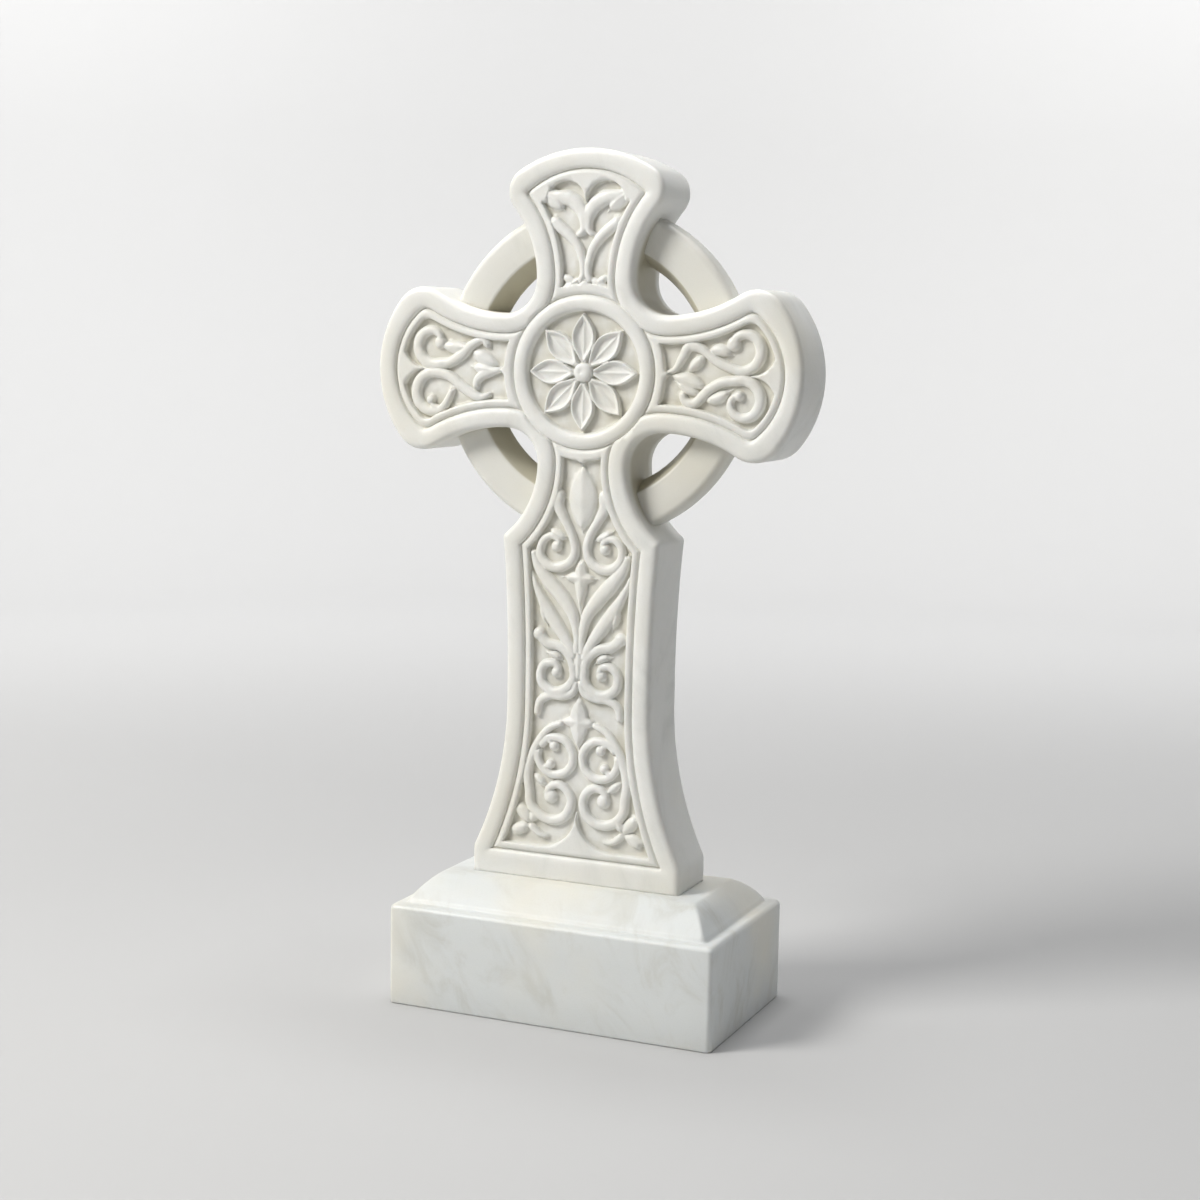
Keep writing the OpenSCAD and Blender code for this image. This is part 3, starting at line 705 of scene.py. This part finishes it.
def ground_rim_points(c, g):
    """Points at the depth g inside the edges of the panels' ground."""
    braces = []
    for sx in (-1, 1):
        for sh in (-1, 1):
            braces.append(circle((sx * c.lobe_x, sh * c.lobe_r), c.lobe_r - g, 2.6))
        braces.append(circle((sx * c.lobe_x, 0), max(g, 0.1), 0.8))
        braces.append(circle((sx * c.top_lobe_r, c.top_lobe_h), c.top_lobe_r - g, 2.6))
        braces.append(circle((sx * c.foot_cusp, c.foot_h + c.foot_cusp), c.foot_cusp - g, 2.6))
    a = np.radians(np.arange(0, 360, 1.2))
    ray = np.stack([np.sin(a), np.cos(a)], 1)
    near_axis = c.closing_r * np.minimum(np.abs(ray[:, 0]), np.abs(ray[:, 1]))
    reach = c.closing_r + g + c.point_rise * np.clip(1 - near_axis / 9, 0, 1) ** 2
    braces.append(ray * reach[:, None])
    points = np.concatenate([candidate_points(c, c.ground_inset + g, 2.8)] + braces)
    return settled(ground_of, c, g, points)


def petal_points(c):
    """Points along the petals' edges, rims and ribs, the same on every petal."""
    u = np.arange(c.button_r, c.petal_tip_r + 1.2, 1.5)
    rows = [np.stack([u, np.full_like(u, v)], 1) for v in (-3.0, -1.5, 0, 1.5, 3.0)]
    v = np.arange(0.5, c.petal_w + 2, 0.5)
    around = np.stack([a.ravel() for a in np.meshgrid(u, v)], 1)
    for inside in (-1.0, -0.4, 0.3, 0.9, 1.7, 2.8, 4.2, 6.0, 8.0):
        row = settled(petal_inset, c, inside, around)
        rows += [row, row * np.array([1.0, -1.0])]
    points = thin(rows, 0.7)
    turned = []
    for i in range(c.petals):
        t = 2 * math.pi * i / c.petals
        turned.append(points @ np.array([[math.sin(t), math.cos(t)], [math.cos(t), -math.sin(t)]]))
    points = np.concatenate(turned)
    place = petal_place(c, points[:, 0], points[:, 1])
    own = np.abs(np.degrees(np.arctan2(place[1], place[0]))) < 180 / c.petals - 0.5
    return points[own & (np.hypot(*points.T) > c.button_r + 3.4)]


def thin(layers, cell):
    """Puts layers of points together and leaves out each that shares a cell with an earlier one."""
    points = np.concatenate(layers)
    _, first = np.unique(np.round(points / cell).astype(int), axis=0, return_index=True)
    return points[np.sort(first)]


def clear_of(points, others, cell):
    """Those of the points with none of the others in their cell of a grid or in the cells around it."""
    low = np.minimum(points.min(0), others.min(0)) - 2 * cell
    at = ((points - low) / cell).astype(int)
    taken = ((others - low) / cell).astype(int)
    full = np.zeros(np.maximum(at.max(0), taken.max(0)) + 3, bool)
    for dx in (-1, 0, 1):
        for dh in (-1, 0, 1):
            full[taken[:, 0] + dx, taken[:, 1] + dh] = True
    return points[~full[at[:, 0], at[:, 1]]]


def grid(low, high, step):
    """A lattice of points whose alternate rows are set half a step over."""
    x, h = np.meshgrid(np.arange(low[0], high[0], step), np.arange(low[1], high[1], step * 0.866))
    x = x + (np.arange(len(x)) % 2)[:, None] * step / 2
    return np.stack([x.ravel(), h.ravel()], 1)


def edge_rings(line, normals, insets):
    """The outline moved inwards by each inset, less what would cross at a corner, and each point's inset."""
    points, rim = [line], [np.zeros(len(line))]
    for inset in insets:
        moved = line - normals * inset
        gap = np.full(len(moved), FAR)
        for part in np.array_split(np.arange(len(line)), 8):
            off = np.hypot(moved[:, None, 0] - line[None, part, 0], moved[:, None, 1] - line[None, part, 1])
            gap = np.minimum(gap, off.min(1))
        keep = gap > inset - 0.02
        points.append(moved[keep])
        rim.append(np.full(int(keep.sum()), float(inset)))
    return np.concatenate(points), np.concatenate(rim)


def foot_line(c, count=80):
    """Points along the bottom of the foot, from left to right, closer together towards its corners."""
    x = -np.cos(np.linspace(0, math.pi, count + 2)[1:-1]) * c.foot_w / 2
    return np.stack([x, np.full_like(x, c.seat)], 1)


def front_points(c, line, normals):
    """All points of the front and their distance from the worn edge: rings along the edge, the
    mouldings, the boss, the strokes, and a lattice over the rest."""
    bevel = c.edge_r * (1 - np.cos(np.radians([14, 27, 40, 54, 70, 90])))
    edge, rim = edge_rings(line, normals, bevel)
    foot = foot_line(c)
    foot_rim = c.foot_w / 2 - np.abs(foot[:, 0])
    far_in = 1.25 * c.edge_r

    def in_stone(points):
        """Those of the points that lie well inside the worn edge."""
        return clear_of(points, line, far_in / 1.5)

    roll = c.roll_w
    fall = roll - c.roll_fall_w * np.array([0.8, 0.55, 0.33, 0.16, 0.05])
    groove = roll + c.groove_w * np.array([0.02, 0.25, 0.5, 0.85, 1.3])
    mouldings = [settled(inset_of, c, inset, candidate_points(c, inset))
                 for inset in np.concatenate([[roll - 0.05], groove, fall, [c.ground_inset - 3.4]])]
    mouldings = in_stone(np.concatenate(mouldings))
    rims = np.concatenate([ground_rim_points(c, g) for g in (-0.8, -0.1, 0.6, 1.2, 2.0)])
    outside_boss = c.boss_r + 2.6 * np.array([0.03, 0.35, 0.7, 1.2])
    panel = np.concatenate([mouldings, rims])
    panel = panel[np.hypot(*panel.T) > outside_boss[-1] + 0.6]
    w = c.boss_r - c.boss_inner_r
    across = np.radians([0, 14, 28, 45, 66, 90, 114, 135, 152, 166, 180])
    radii = c.boss_inner_r + w * (1 - np.cos(across)) / 2
    boss_radii = np.concatenate([c.boss_inner_r - np.array([2.2, 1.4, 0.7]), radii, outside_boss])
    turn = 2 * math.pi * np.arange(232) / 232
    ray = np.stack([np.cos(turn), np.sin(turn)], 1)
    boss = np.concatenate([ray * r for r in boss_radii])
    shares = (0.12, 0.3, 0.5, 0.7, 0.86, 0.96, 1.02)
    button = np.concatenate([circle((0, 0), c.button_r * s, 2.0) for s in shares])
    petals = petal_points(c)
    petals = petals[np.hypot(*petals.T) < c.boss_inner_r - 2.6]
    strokes = np.concatenate([stroke_points(stroke) for stroke in all_strokes()])
    ground = ground_of(c, *strokes.T)
    strokes = strokes[(ground > 0.8) | ((ground > -2.5) & (carved_height(c, *strokes.T) > 0))]
    fine = thin([boss, petals, button, panel, strokes], 0.62)
    step = 3.0
    fill = grid((-c.arm_reach, c.seat + 2), (c.arm_reach, c.top_reach), step)
    fill = in_stone(clear_of(fill, fine, 1.5))
    inset = inset_of(c, fill[:, 0], fill[:, 1])
    coarse = (inset < roll - c.roll_fall_w) & (np.round(fill[:, 0] / step).astype(int) % 2 == 0)
    fill = fill[(inset > roll - c.roll_fall_w) | coarse]
    inner = np.concatenate([fine, fill])
    points = np.concatenate([edge, foot, inner])
    return points, np.concatenate([rim, foot_rim, np.full(len(inner), FAR)])


def back_points(c, line, normals):
    """All points of the plain back and their distance from the worn edge."""
    bevel = c.edge_r * (1 - np.cos(np.radians([18, 36, 55, 75, 90])))
    edge, rim = edge_rings(line, normals, bevel)
    foot = foot_line(c)
    fill = clear_of(grid((-c.arm_reach, c.seat + 6), (c.arm_reach, c.top_reach), 14.0), line, c.edge_r)
    points = np.concatenate([edge, foot, fill])
    rim = np.concatenate([rim, c.foot_w / 2 - np.abs(foot[:, 0]), np.full(len(fill), FAR)])
    return points, rim


def inside_line(loop, points):
    """Which of the points lie inside a closed line: those from which a level ray crosses it an odd
    number of times."""
    a, b = loop, np.roll(loop, -1, axis=0)
    inside = np.zeros(len(points), bool)
    for i in np.array_split(np.arange(len(points)), 64):
        p = points[i]
        spans = (a[None, :, 1] > p[:, 1, None]) != (b[None, :, 1] > p[:, 1, None])
        rise = np.where(b[:, 1] == a[:, 1], 1.0, b[:, 1] - a[:, 1])
        cut = a[None, :, 0] + (p[:, 1, None] - a[None, :, 1]) * ((b[:, 0] - a[:, 0]) / rise)[None]
        inside[i] = ((spans & (p[:, 0, None] < cut)).sum(1) % 2) == 1
    return inside


def triangles_inside(points, loop):
    """Triangles between the points whose middles lie inside the loop, wound anticlockwise."""
    found = geometry.delaunay_2d_cdt(points.tolist(), [], [], 0, 1e-7)
    if len(found[0]) != len(points):
        raise RuntimeError("two points of the relief fell together")
    faces = np.array(found[2])
    a, b, d = (points[faces[:, i]] for i in range(3))
    area = (b[:, 0] - a[:, 0]) * (d[:, 1] - a[:, 1]) - (b[:, 1] - a[:, 1]) * (d[:, 0] - a[:, 0])
    faces[area < 0] = faces[area < 0][:, ::-1]
    return faces[(np.abs(area) > 1e-6) & inside_line(loop, (a + b + d) / 3)]


# ---- meshes ----

def new_piece(name, vertices, faces, node):
    """Makes a piece from vertices in millimetres and a list of face arrays, smooth shaded."""
    mesh = bpy.data.meshes.new(name)
    mesh.from_pydata((vertices * MM).tolist(), [], [face for block in faces for face in block.tolist()])
    mesh.polygons.foreach_set("use_smooth", np.ones(len(mesh.polygons), bool))
    mesh.update()
    piece = bpy.data.objects.new(name, mesh)
    bpy.context.scene.collection.objects.link(piece)
    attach(piece, "root")
    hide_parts(node)
    return piece


def point_values(piece, name, values):
    """Stores one number for each vertex of the piece."""
    layer = piece.data.attributes.new(name, "FLOAT", "POINT")
    layer.data.foreach_set("value", values.astype(np.float32))


def strips(rows):
    """Quads between each row of vertex numbers and the next one, closed all round."""
    here, after = rows[:-1], rows[1:]
    return np.stack([here, after, np.roll(after, -1, axis=1), np.roll(here, -1, axis=1)], 2).reshape(-1, 4)


def hollows(points, depth, cell=2.0, reach=7):
    """How deep each point lies below the surface around it, in millimetres.

    The depths are averaged over the cells of a grid, the grid is blurred by a box that is twice the
    reach wide, in cells, along both of its sides, and the blurred depth is taken from the point's own.
    """
    low = points.min(0) - cell * (reach + 2)
    at = ((points - low) / cell).astype(int)
    shape = at.max(0) + reach + 3
    total, count = np.zeros(shape), np.zeros(shape)
    np.add.at(total, (at[:, 0], at[:, 1]), depth)
    np.add.at(count, (at[:, 0], at[:, 1]), 1)
    box = np.ones(2 * reach + 1)
    for axis in (0, 1):
        total = np.apply_along_axis(np.convolve, axis, total, box, "same")
        count = np.apply_along_axis(np.convolve, axis, count, box, "same")
    mean = total / np.maximum(count, 1)
    return depth - mean[at[:, 0], at[:, 1]]


def lathe_ring(s, c):
    """The stone ring: a section turned about the boss's axis.

    The section is flat in front and behind, has quarter rounds at its outer edges, and is splayed
    inside from the front inner radius to the narrower one near the back.
    """
    half, r, edge = s.ring_t / 2, s.ring_r, s.ring_edge_r
    quarter = np.radians(np.linspace(0, 90, 7))
    outer_front = np.stack([r - edge + edge * np.sin(quarter), -half + edge - edge * np.cos(quarter)], 1)
    outer_back = np.stack([r - edge + edge * np.cos(quarter), half - edge + edge * np.sin(quarter)], 1)
    soft = 5.0
    section = np.concatenate([
        [[s.front_inner_r + soft, -half], [r - 2 * edge, -half]], outer_front, outer_back,
        [[s.back_inner_r + 9, half], [s.back_inner_r + 3.5, half - 1.5], [s.back_inner_r + 0.8, half - 5],
         [s.back_inner_r, half - 10], [s.back_inner_r + 2.5, half - 17],
         [s.front_inner_r - 3.2, -half + 7], [s.front_inner_r - 0.6, -half + 2.6],
         [s.front_inner_r + 1.8, -half + 0.6]]])
    turn = 2 * math.pi * np.arange(256) / 256
    out = np.stack([np.cos(turn), np.zeros_like(turn), np.sin(turn)], 1)
    rows = [out * r + np.array([0, y, c.axis_z]) for r, y in section]
    count = len(turn)
    numbers = np.arange(len(rows) * count).reshape(len(rows), count)
    numbers = np.vstack([numbers, numbers[:1]])
    return np.concatenate(rows), strips(numbers)


def gap_shade(r, c):
    """Painted shade on the limbs' side walls, which falls off outwards from the ring's gaps."""
    shade_reach, fading = 60, 90                 # full this far past the closing bands, then falling off
    return FULL_SHADE_AND_DUST * (1 - smooth((r - c.closing_r - shade_reach) / fading))


def build_cross():
    """The cross: its carved front, plain back, sides and ring, as one piece."""
    c = stone_sizes()
    line, normals = outline(c)
    foot = foot_line(c)
    loop = np.concatenate([line, foot])
    blocks, faces, shade_and_dust, total = [], [], [], 0
    borders = []
    for side, (points, rim) in ((-1, front_points(c, line, normals)), (1, back_points(c, line, normals))):
        keep = inside_line(loop, points) | (rim == 0) | (points[:, 1] <= c.seat)
        points, rim = points[keep], rim[keep]
        x, h = points.T
        if side < 0:
            depth = relief(c, x, h, rim)
            # the front's hollows take a tint by how far they lie below the surface around them: dust, and
            # painted shade
            sunk = hollows(points, depth)
            shade_and_dust.append(np.where(inset_of(c, x, h) > c.roll_w - 5, sunk, 0))
        else:
            left = c.edge_r - np.clip(rim, 0, c.edge_r)
            depth = c.edge_r - np.sqrt(c.edge_r ** 2 - left ** 2)
            shade_and_dust.append(np.zeros(len(x)))
        triangles = triangles_inside(points, loop)
        if side > 0:
            triangles = triangles[:, ::-1]
        blocks.append(np.stack([x, side * (c.half_t - depth), h + c.axis_z], 1))
        faces.append(triangles + total)
        foot_first = int(np.nonzero((points == foot[0]).all(1))[0][0])
        borders.append(np.concatenate([np.arange(len(line)), foot_first + np.arange(len(foot))]) + total)
        total += len(points)
    front, back = (blocks[i][borders[i] - offset] for i, offset in ((0, 0), (1, len(blocks[0]))))
    rows = [borders[0]]
    for t in (0.2, 0.4, 0.6, 0.8):
        blocks.append(front * (1 - t) + back * t)
        # the side walls take painted shade near the ring's gaps
        shade_and_dust.append(gap_shade(np.hypot(front[:, 0], front[:, 2] - c.axis_z), c))
        rows.append(total + np.arange(len(front)))
        total += len(front)
    rows.append(borders[1])
    faces.append(strips(np.array(rows)))
    ring_sizes = in_mm(bpy.context.scene.ring_sizes)
    inner_r = ring_sizes.front_inner_r
    ring, ring_faces = lathe_ring(ring_sizes, c)
    blocks.append(ring)
    ring_at = np.hypot(ring[:, 0], ring[:, 2] - c.axis_z)
    # painted shade on the ring: full on its splayed inner faces, a share of it on the rest
    shade_and_dust.append(FULL_SHADE_AND_DUST * np.where(ring_at < inner_r + 1, 1.0, RING_SHADE))
    faces.append(ring_faces + total)
    piece = new_piece("carved_cross", np.concatenate(blocks), faces, "cross")
    point_values(piece, "shade_and_dust", np.concatenate(shade_and_dust))
    return piece


def rounded_level(half_w, half_d, corner_r, count=6, side_count=9):
    """A level loop: a rectangle with quarter round corners, with the same number of points at any size."""
    quarter = np.radians(np.linspace(0, 90, count))
    corners = []
    for sx, sy, start in ((1, 1, 0), (-1, 1, 90), (-1, -1, 180), (1, -1, 270)):
        a = quarter + math.radians(start)
        centre = np.array([sx * (half_w - corner_r), sy * (half_d - corner_r)])
        corners.append(centre + corner_r * np.stack([np.cos(a), np.sin(a)], 1))
    loops = []
    for i, corner in enumerate(corners):
        after = corners[(i + 1) % 4][0]
        t = np.linspace(0, 1, side_count + 2)[1:-1, None]
        loops += [corner, corner[-1] * (1 - t) + after * t]
    return np.concatenate(loops)


def build_plinth():
    """The plinth: level loops stacked up, from the underside over the arris, ledge, step and slope to
    the seat. Each loop is a rectangle that is drawn in by its own amount at the sides and at the front."""
    s = in_mm(bpy.context.scene.plinth_sizes)
    half_w, half_d, top = PLINTH_HIGH.x / MM, PLINTH_HIGH.y / MM, PLINTH_HIGH.z / MM
    r = s.arris_r
    levels = [(2.5, 2.5, 0.0, r), (0.7, 0.7, 0.9, r), (0.0, 0.0, 2.8, r),
              (0.0, 0.0, s.ledge_z * 0.35, r), (0.0, 0.0, s.ledge_z * 0.7, r)]
    for a in np.radians(np.linspace(0, 90, 7)):
        inset = r * (1 - math.cos(a))
        levels.append((inset, inset, s.ledge_z - r * (1 - math.sin(a)), r))
    ledge = s.ledge_w
    levels += [(ledge - 2.4, ledge - 2.4, s.ledge_z, r), (ledge - 0.6, ledge - 0.6, s.ledge_z + 0.5, r),
               (ledge + 0.6, ledge + 0.6, s.ledge_z + 2.2, r)]
    foot_h = s.ledge_z + s.step_h
    levels += [(ledge + 1.6, ledge + 1.6, foot_h - 2.0, r), (ledge + 3.0, ledge + 3.0, foot_h - 0.2, r)]
    rise = top - foot_h
    for t in np.linspace(0.03, 0.97, 12):
        h = foot_h + rise * t + 4 * s.slope_crown * t * (1 - t)
        levels.append((ledge + 3.5 + s.side_run * t, ledge + 3.5 + s.front_run * t, min(h, top - 0.35), 5.0))
    side, front = ledge + 3.5 + s.side_run, ledge + 3.5 + s.front_run
    levels += [(side + 1.2, front + 1.4, top - 0.1, 5.0), (side + 5.0, front + 5.0, top, 5.0)]
    rows = []
    for in_x, in_y, z, corner in levels:
        loop = rounded_level(half_w - in_x, half_d - in_y, corner)
        rows.append(np.column_stack([loop, np.full(len(loop), z)]))
    vertices = np.concatenate(rows)
    count = len(rows[0])
    numbers = np.arange(len(vertices)).reshape(-1, count)
    sides = strips(numbers)[:, ::-1]
    lid, base = numbers[-1][None], numbers[0][None, ::-1]
    piece = new_piece("plinth_block", vertices, [sides, lid, base], "plinth")
    point_values(piece, "shade_and_dust", np.zeros(len(vertices)))
    return piece


# ---- materials ----

def node(tree, kind, settings=None, **links):
    """Adds a node, sets its properties and its sockets' plain values, and links the rest to sockets."""
    made = tree.nodes.new(kind)
    for name, value in (settings or {}).items():
        setattr(made, name, value)
    for name, value in links.items():
        key = int(name[1:]) if name[0] == "i" and name[1:].isdigit() else name.replace("_", " ")
        if isinstance(value, bpy.types.NodeSocket):
            tree.links.new(value, made.inputs[key])
        else:
            made.inputs[key].default_value = value
    return made


def marble(name, look, clean, clear, cloud_mm, streaks, seed):
    """White statuary marble, sawn or carved and then rubbed smooth.

    To the eye it is ivory white with soft grey clouding a hand wide and a few thin grey streaks, with
    fine crystal grain, a dull polish, and a little light carried inside, which softens its edges.
    """
    material = bpy.data.materials.new(name)
    material.use_nodes = True
    tree = material.node_tree
    tree.nodes.clear()
    place = node(tree, "ShaderNodeTexCoord").outputs["Object"]
    shifted = node(tree, "ShaderNodeMapping", i0=place, i1=(seed, seed * 0.7, seed * 1.3),
                   i2=(0.35, 0.5, 0.2)).outputs[0]
    per_metre, tint_mm, streak_mm = 1000.0, 240, 110
    grain_mm, rub_mm, swell_mm = 2.2, 1.4, 14      # crystals are finer, and are drawn this coarse to show
    slanted = node(tree, "ShaderNodeMapping", i0=shifted, i2=(0.0, 1.3, 0.0), i3=(1.0, 1.0, 0.45)).outputs[0]
    cloud = node(tree, "ShaderNodeTexNoise", i0=slanted, Scale=per_metre / cloud_mm, Detail=8.0,
                 Roughness=0.62, Distortion=0.7).outputs[0]
    tint = node(tree, "ShaderNodeTexNoise", i0=shifted, Scale=per_metre / tint_mm, Detail=3.0,
                Roughness=0.5).outputs[0]
    vein = node(tree, "ShaderNodeTexNoise", {"noise_type": "RIDGED_MULTIFRACTAL"}, i0=slanted,
                Scale=per_metre / streak_mm, Detail=6.0, Roughness=0.6, Lacunarity=2.3).outputs[0]
    grain = node(tree, "ShaderNodeTexNoise", i0=place, Scale=per_metre / grain_mm, Detail=3.0,
                 Roughness=0.7).outputs[0]
    # the tint of the hollows, a painted shade with some dust, read from the piece's own values
    sunk = node(tree, "ShaderNodeAttribute", {"attribute_name": "shade_and_dust"}).outputs["Fac"]
    # each layer: its pattern, the values where it starts and is full, its greatest share, its colour
    layers = ((cloud, 0.45, clear, 1.0, look.cloud), (tint, 0.45, 0.75, 1.0, look.warm),
              (vein, 0.62, 1.15, streaks, look.streak), (grain, 0.5, 0.8, 0.16, look.streak),
              (sunk, 0.8, FULL_SHADE_AND_DUST, look.shade_and_dust_share, look.shade_and_dust))
    body = (*clean, 1.0)
    for pattern, start, full, most, hue in layers:
        laid = node(tree, "ShaderNodeMapRange", {"interpolation_type": "SMOOTHSTEP", "clamp": True},
                    i0=pattern, i1=start, i2=full, i4=most).outputs[0]
        body = node(tree, "ShaderNodeMix", {"data_type": "RGBA"}, i0=laid, i6=body,
                    i7=(*hue, 1.0)).outputs[2]
    fine = node(tree, "ShaderNodeTexNoise", i0=place, Scale=per_metre / rub_mm, Detail=2.0).outputs[0]
    soft = node(tree, "ShaderNodeTexNoise", i0=place, Scale=per_metre / swell_mm, Detail=3.0).outputs[0]
    low = node(tree, "ShaderNodeBump", i0=0.25, i1=0.0012, Height=soft).outputs[0]
    bump = node(tree, "ShaderNodeBump", i0=0.22, i1=0.0004, Height=fine, Normal=low).outputs[0]
    dull = node(tree, "ShaderNodeMapRange", i0=soft, i1=0.3, i2=0.7, i3=look.roughness - 0.05,
                i4=look.roughness + 0.08).outputs[0]
    shader = node(tree, "ShaderNodeBsdfPrincipled", {"subsurface_method": "RANDOM_WALK"}, Base_Color=body,
                  Roughness=dull, Normal=bump, IOR=1.49, Subsurface_Weight=0.12, Subsurface_Scale=0.006,
                  Subsurface_Radius=(1.0, 0.8, 0.6))
    node(tree, "ShaderNodeOutputMaterial", Surface=shader.outputs[0])
    return material


def plain_floor(look):
    """Matt painted board, rolled: it only takes a soft shadow."""
    material = bpy.data.materials.new("matt_painted_board")
    material.use_nodes = True
    tree = material.node_tree
    shader = tree.nodes["Principled BSDF"]
    shader.inputs["Base Color"].default_value = (*look.floor, 1.0)
    shader.inputs["Roughness"].default_value = 0.9
    return material


# ---- the stage ----

def build_floor():
    """The floor and its backdrop: a disc that curves up to a round wall, far outside the camera."""
    look = in_mm(bpy.context.scene.stage_look)
    r, cove = look.floor_r, look.cove_r
    quarter = np.radians(np.linspace(0, 90, 14))
    section = np.concatenate([
        [[r * 0.02, 0], [r * 0.5, 0]],
        np.stack([r + cove * np.sin(quarter), cove - cove * np.cos(quarter)], 1),
        [[r + cove, look.wall_h]]])
    turn = 2 * math.pi * np.arange(96) / 96
    rows = [np.column_stack([a * np.cos(turn), a * np.sin(turn), np.full(len(turn), z)]) for a, z in section]
    numbers = np.arange(len(rows) * len(turn)).reshape(len(rows), -1)
    mesh = bpy.data.meshes.new("floor")
    faces = strips(numbers).tolist() + [numbers[0][::-1].tolist()]
    mesh.from_pydata((np.concatenate(rows) * MM).tolist(), [], faces)
    mesh.polygons.foreach_set("use_smooth", np.ones(len(mesh.polygons), bool))
    floor = bpy.data.objects.new("floor", mesh)
    bpy.context.scene.collection.objects.link(floor)
    floor.data.materials.append(plain_floor(look))


def area_light(name, place, target, size, power, hue):
    """A square soft light at a place, turned to its target."""
    lamp = bpy.data.lights.new(name, "AREA")
    lamp.shape = "SQUARE"
    lamp.size, lamp.energy, lamp.color = size, power, hue
    light = bpy.data.objects.new(name, lamp)
    light.location = place
    light.rotation_euler = (Vector(target) - Vector(place)).to_track_quat("-Z", "Y").to_euler()
    bpy.context.scene.collection.objects.link(light)


def build_camera():
    """The camera: back from its target along its azimuth and elevation, and turned by its roll."""
    look = bpy.context.scene.stage_look
    a, e, roll = look.azimuth, look.elevation, look.roll
    back = Vector((math.sin(a) * math.cos(e), -math.cos(a) * math.cos(e), math.sin(e)))
    right = (-back).cross(Vector((0, 0, 1))).normalized()
    up = right.cross(-back)
    right, up = (math.cos(roll) * right + math.sin(roll) * up, -math.sin(roll) * right + math.cos(roll) * up)
    lens = bpy.data.cameras.new("camera")
    lens.lens, lens.sensor_width = look.lens, 36.0
    camera = bpy.data.objects.new("camera", lens)
    turn = Matrix((right, up, back)).transposed().to_4x4()
    target = Vector((look.target_x, 0, look.target_z))
    camera.matrix_world = Matrix.Translation(target + back * look.distance) @ turn
    bpy.context.scene.collection.objects.link(camera)
    bpy.context.scene.camera = camera


def build_lights():
    """A large warm key from the upper left, a weak cool fill from the right, and an even pale sky."""
    centre = (0, 0, 0.62)
    area_light("key", (-3.2, -3.2, 4.2), centre, 2.0, 310, (1.0, 0.985, 0.955))
    area_light("top", (0.0, 0.4, 5.2), (0, 0, 0.4), 2.2, 150, (1.0, 1.0, 1.0))
    area_light("fill", (3.0, 2.4, 1.4), centre, 1.5, 3, (0.6, 0.8, 1.0))
    facing = bpy.context.scene.stage_look.azimuth
    for side in (-1, 1):
        way = Vector((-math.sin(facing + side * 0.5), math.cos(facing + side * 0.5), 0))
        area_light("backdrop", way * 3.7 + Vector((0, 0, 3.6)), way * 6.4 + Vector((0, 0, 1.6)), 2.0, 122,
                   (1.0, 1.0, 1.0))
    world = bpy.data.worlds.new("sky")
    world.use_nodes = True
    sky = world.node_tree.nodes["Background"]
    sky.inputs["Color"].default_value = (0.93, 0.96, 1.0, 1.0)
    sky.inputs["Strength"].default_value = 0.06
    bpy.context.scene.world = world
    bpy.context.scene.view_settings.view_transform = "Standard"


# ---- operators, panel and registration ----

class GRAVESTONE_OT_cross(bpy.types.Operator):
    """Carve the ringed cross in marble"""
    bl_idname = "gravestone.cross"
    bl_label = "Carve the Cross"

    def execute(self, context):
        piece = build_cross()
        look = context.scene.marble_look
        piece.data.materials.append(marble("carved_statuary_marble", look, look.body, 0.9, 90, 0.25, 3.1))
        return {"FINISHED"}


class GRAVESTONE_OT_plinth(bpy.types.Operator):
    """Cut the plinth in marble"""
    bl_idname = "gravestone.plinth"
    bl_label = "Cut the Plinth"

    def execute(self, context):
        piece = build_plinth()
        look = context.scene.marble_look
        piece.data.materials.append(marble("honed_plinth_marble", look, look.plinth_body, 0.7, 60, 0.7, 8.4))
        return {"FINISHED"}


class GRAVESTONE_OT_stage(bpy.types.Operator):
    """Set up the floor, the lights and the camera"""
    bl_idname = "gravestone.stage"
    bl_label = "Set the Stage"

    def execute(self, context):
        build_floor()
        build_lights()
        build_camera()
        return {"FINISHED"}


class GRAVESTONE_PT_panel(bpy.types.Panel):
    """Lists the steps that make the gravestone"""
    bl_idname = "GRAVESTONE_PT_panel"
    bl_label = "Gravestone"
    bl_space_type = "VIEW_3D"
    bl_region_type = "UI"
    bl_category = "Gravestone"

    def draw(self, context):
        for step in OPERATORS:
            self.layout.operator(step.bl_idname)


GROUPS = {"outline_sizes": OutlineSizes, "carving_sizes": CarvingSizes, "ring_sizes": RingSizes,
          "plinth_sizes": PlinthSizes, "marble_look": MarbleLook, "stage_look": StageLook}
OPERATORS = (GRAVESTONE_OT_stage, GRAVESTONE_OT_plinth, GRAVESTONE_OT_cross)


def register():
    for name, group in GROUPS.items():
        bpy.utils.register_class(group)
        setattr(bpy.types.Scene, name, bpy.props.PointerProperty(type=group))
    for kind in (*OPERATORS, GRAVESTONE_PT_panel):
        bpy.utils.register_class(kind)


def unregister():
    for kind in (GRAVESTONE_PT_panel, *reversed(OPERATORS)):
        bpy.utils.unregister_class(kind)
    for name, group in GROUPS.items():
        delattr(bpy.types.Scene, name)
        bpy.utils.unregister_class(group)


def main():
    """Makes everything."""
    register()
    bpy.ops.gravestone.stage()
    bpy.ops.gravestone.plinth()
    bpy.ops.gravestone.cross()


if __name__ == "__main__":
    main()
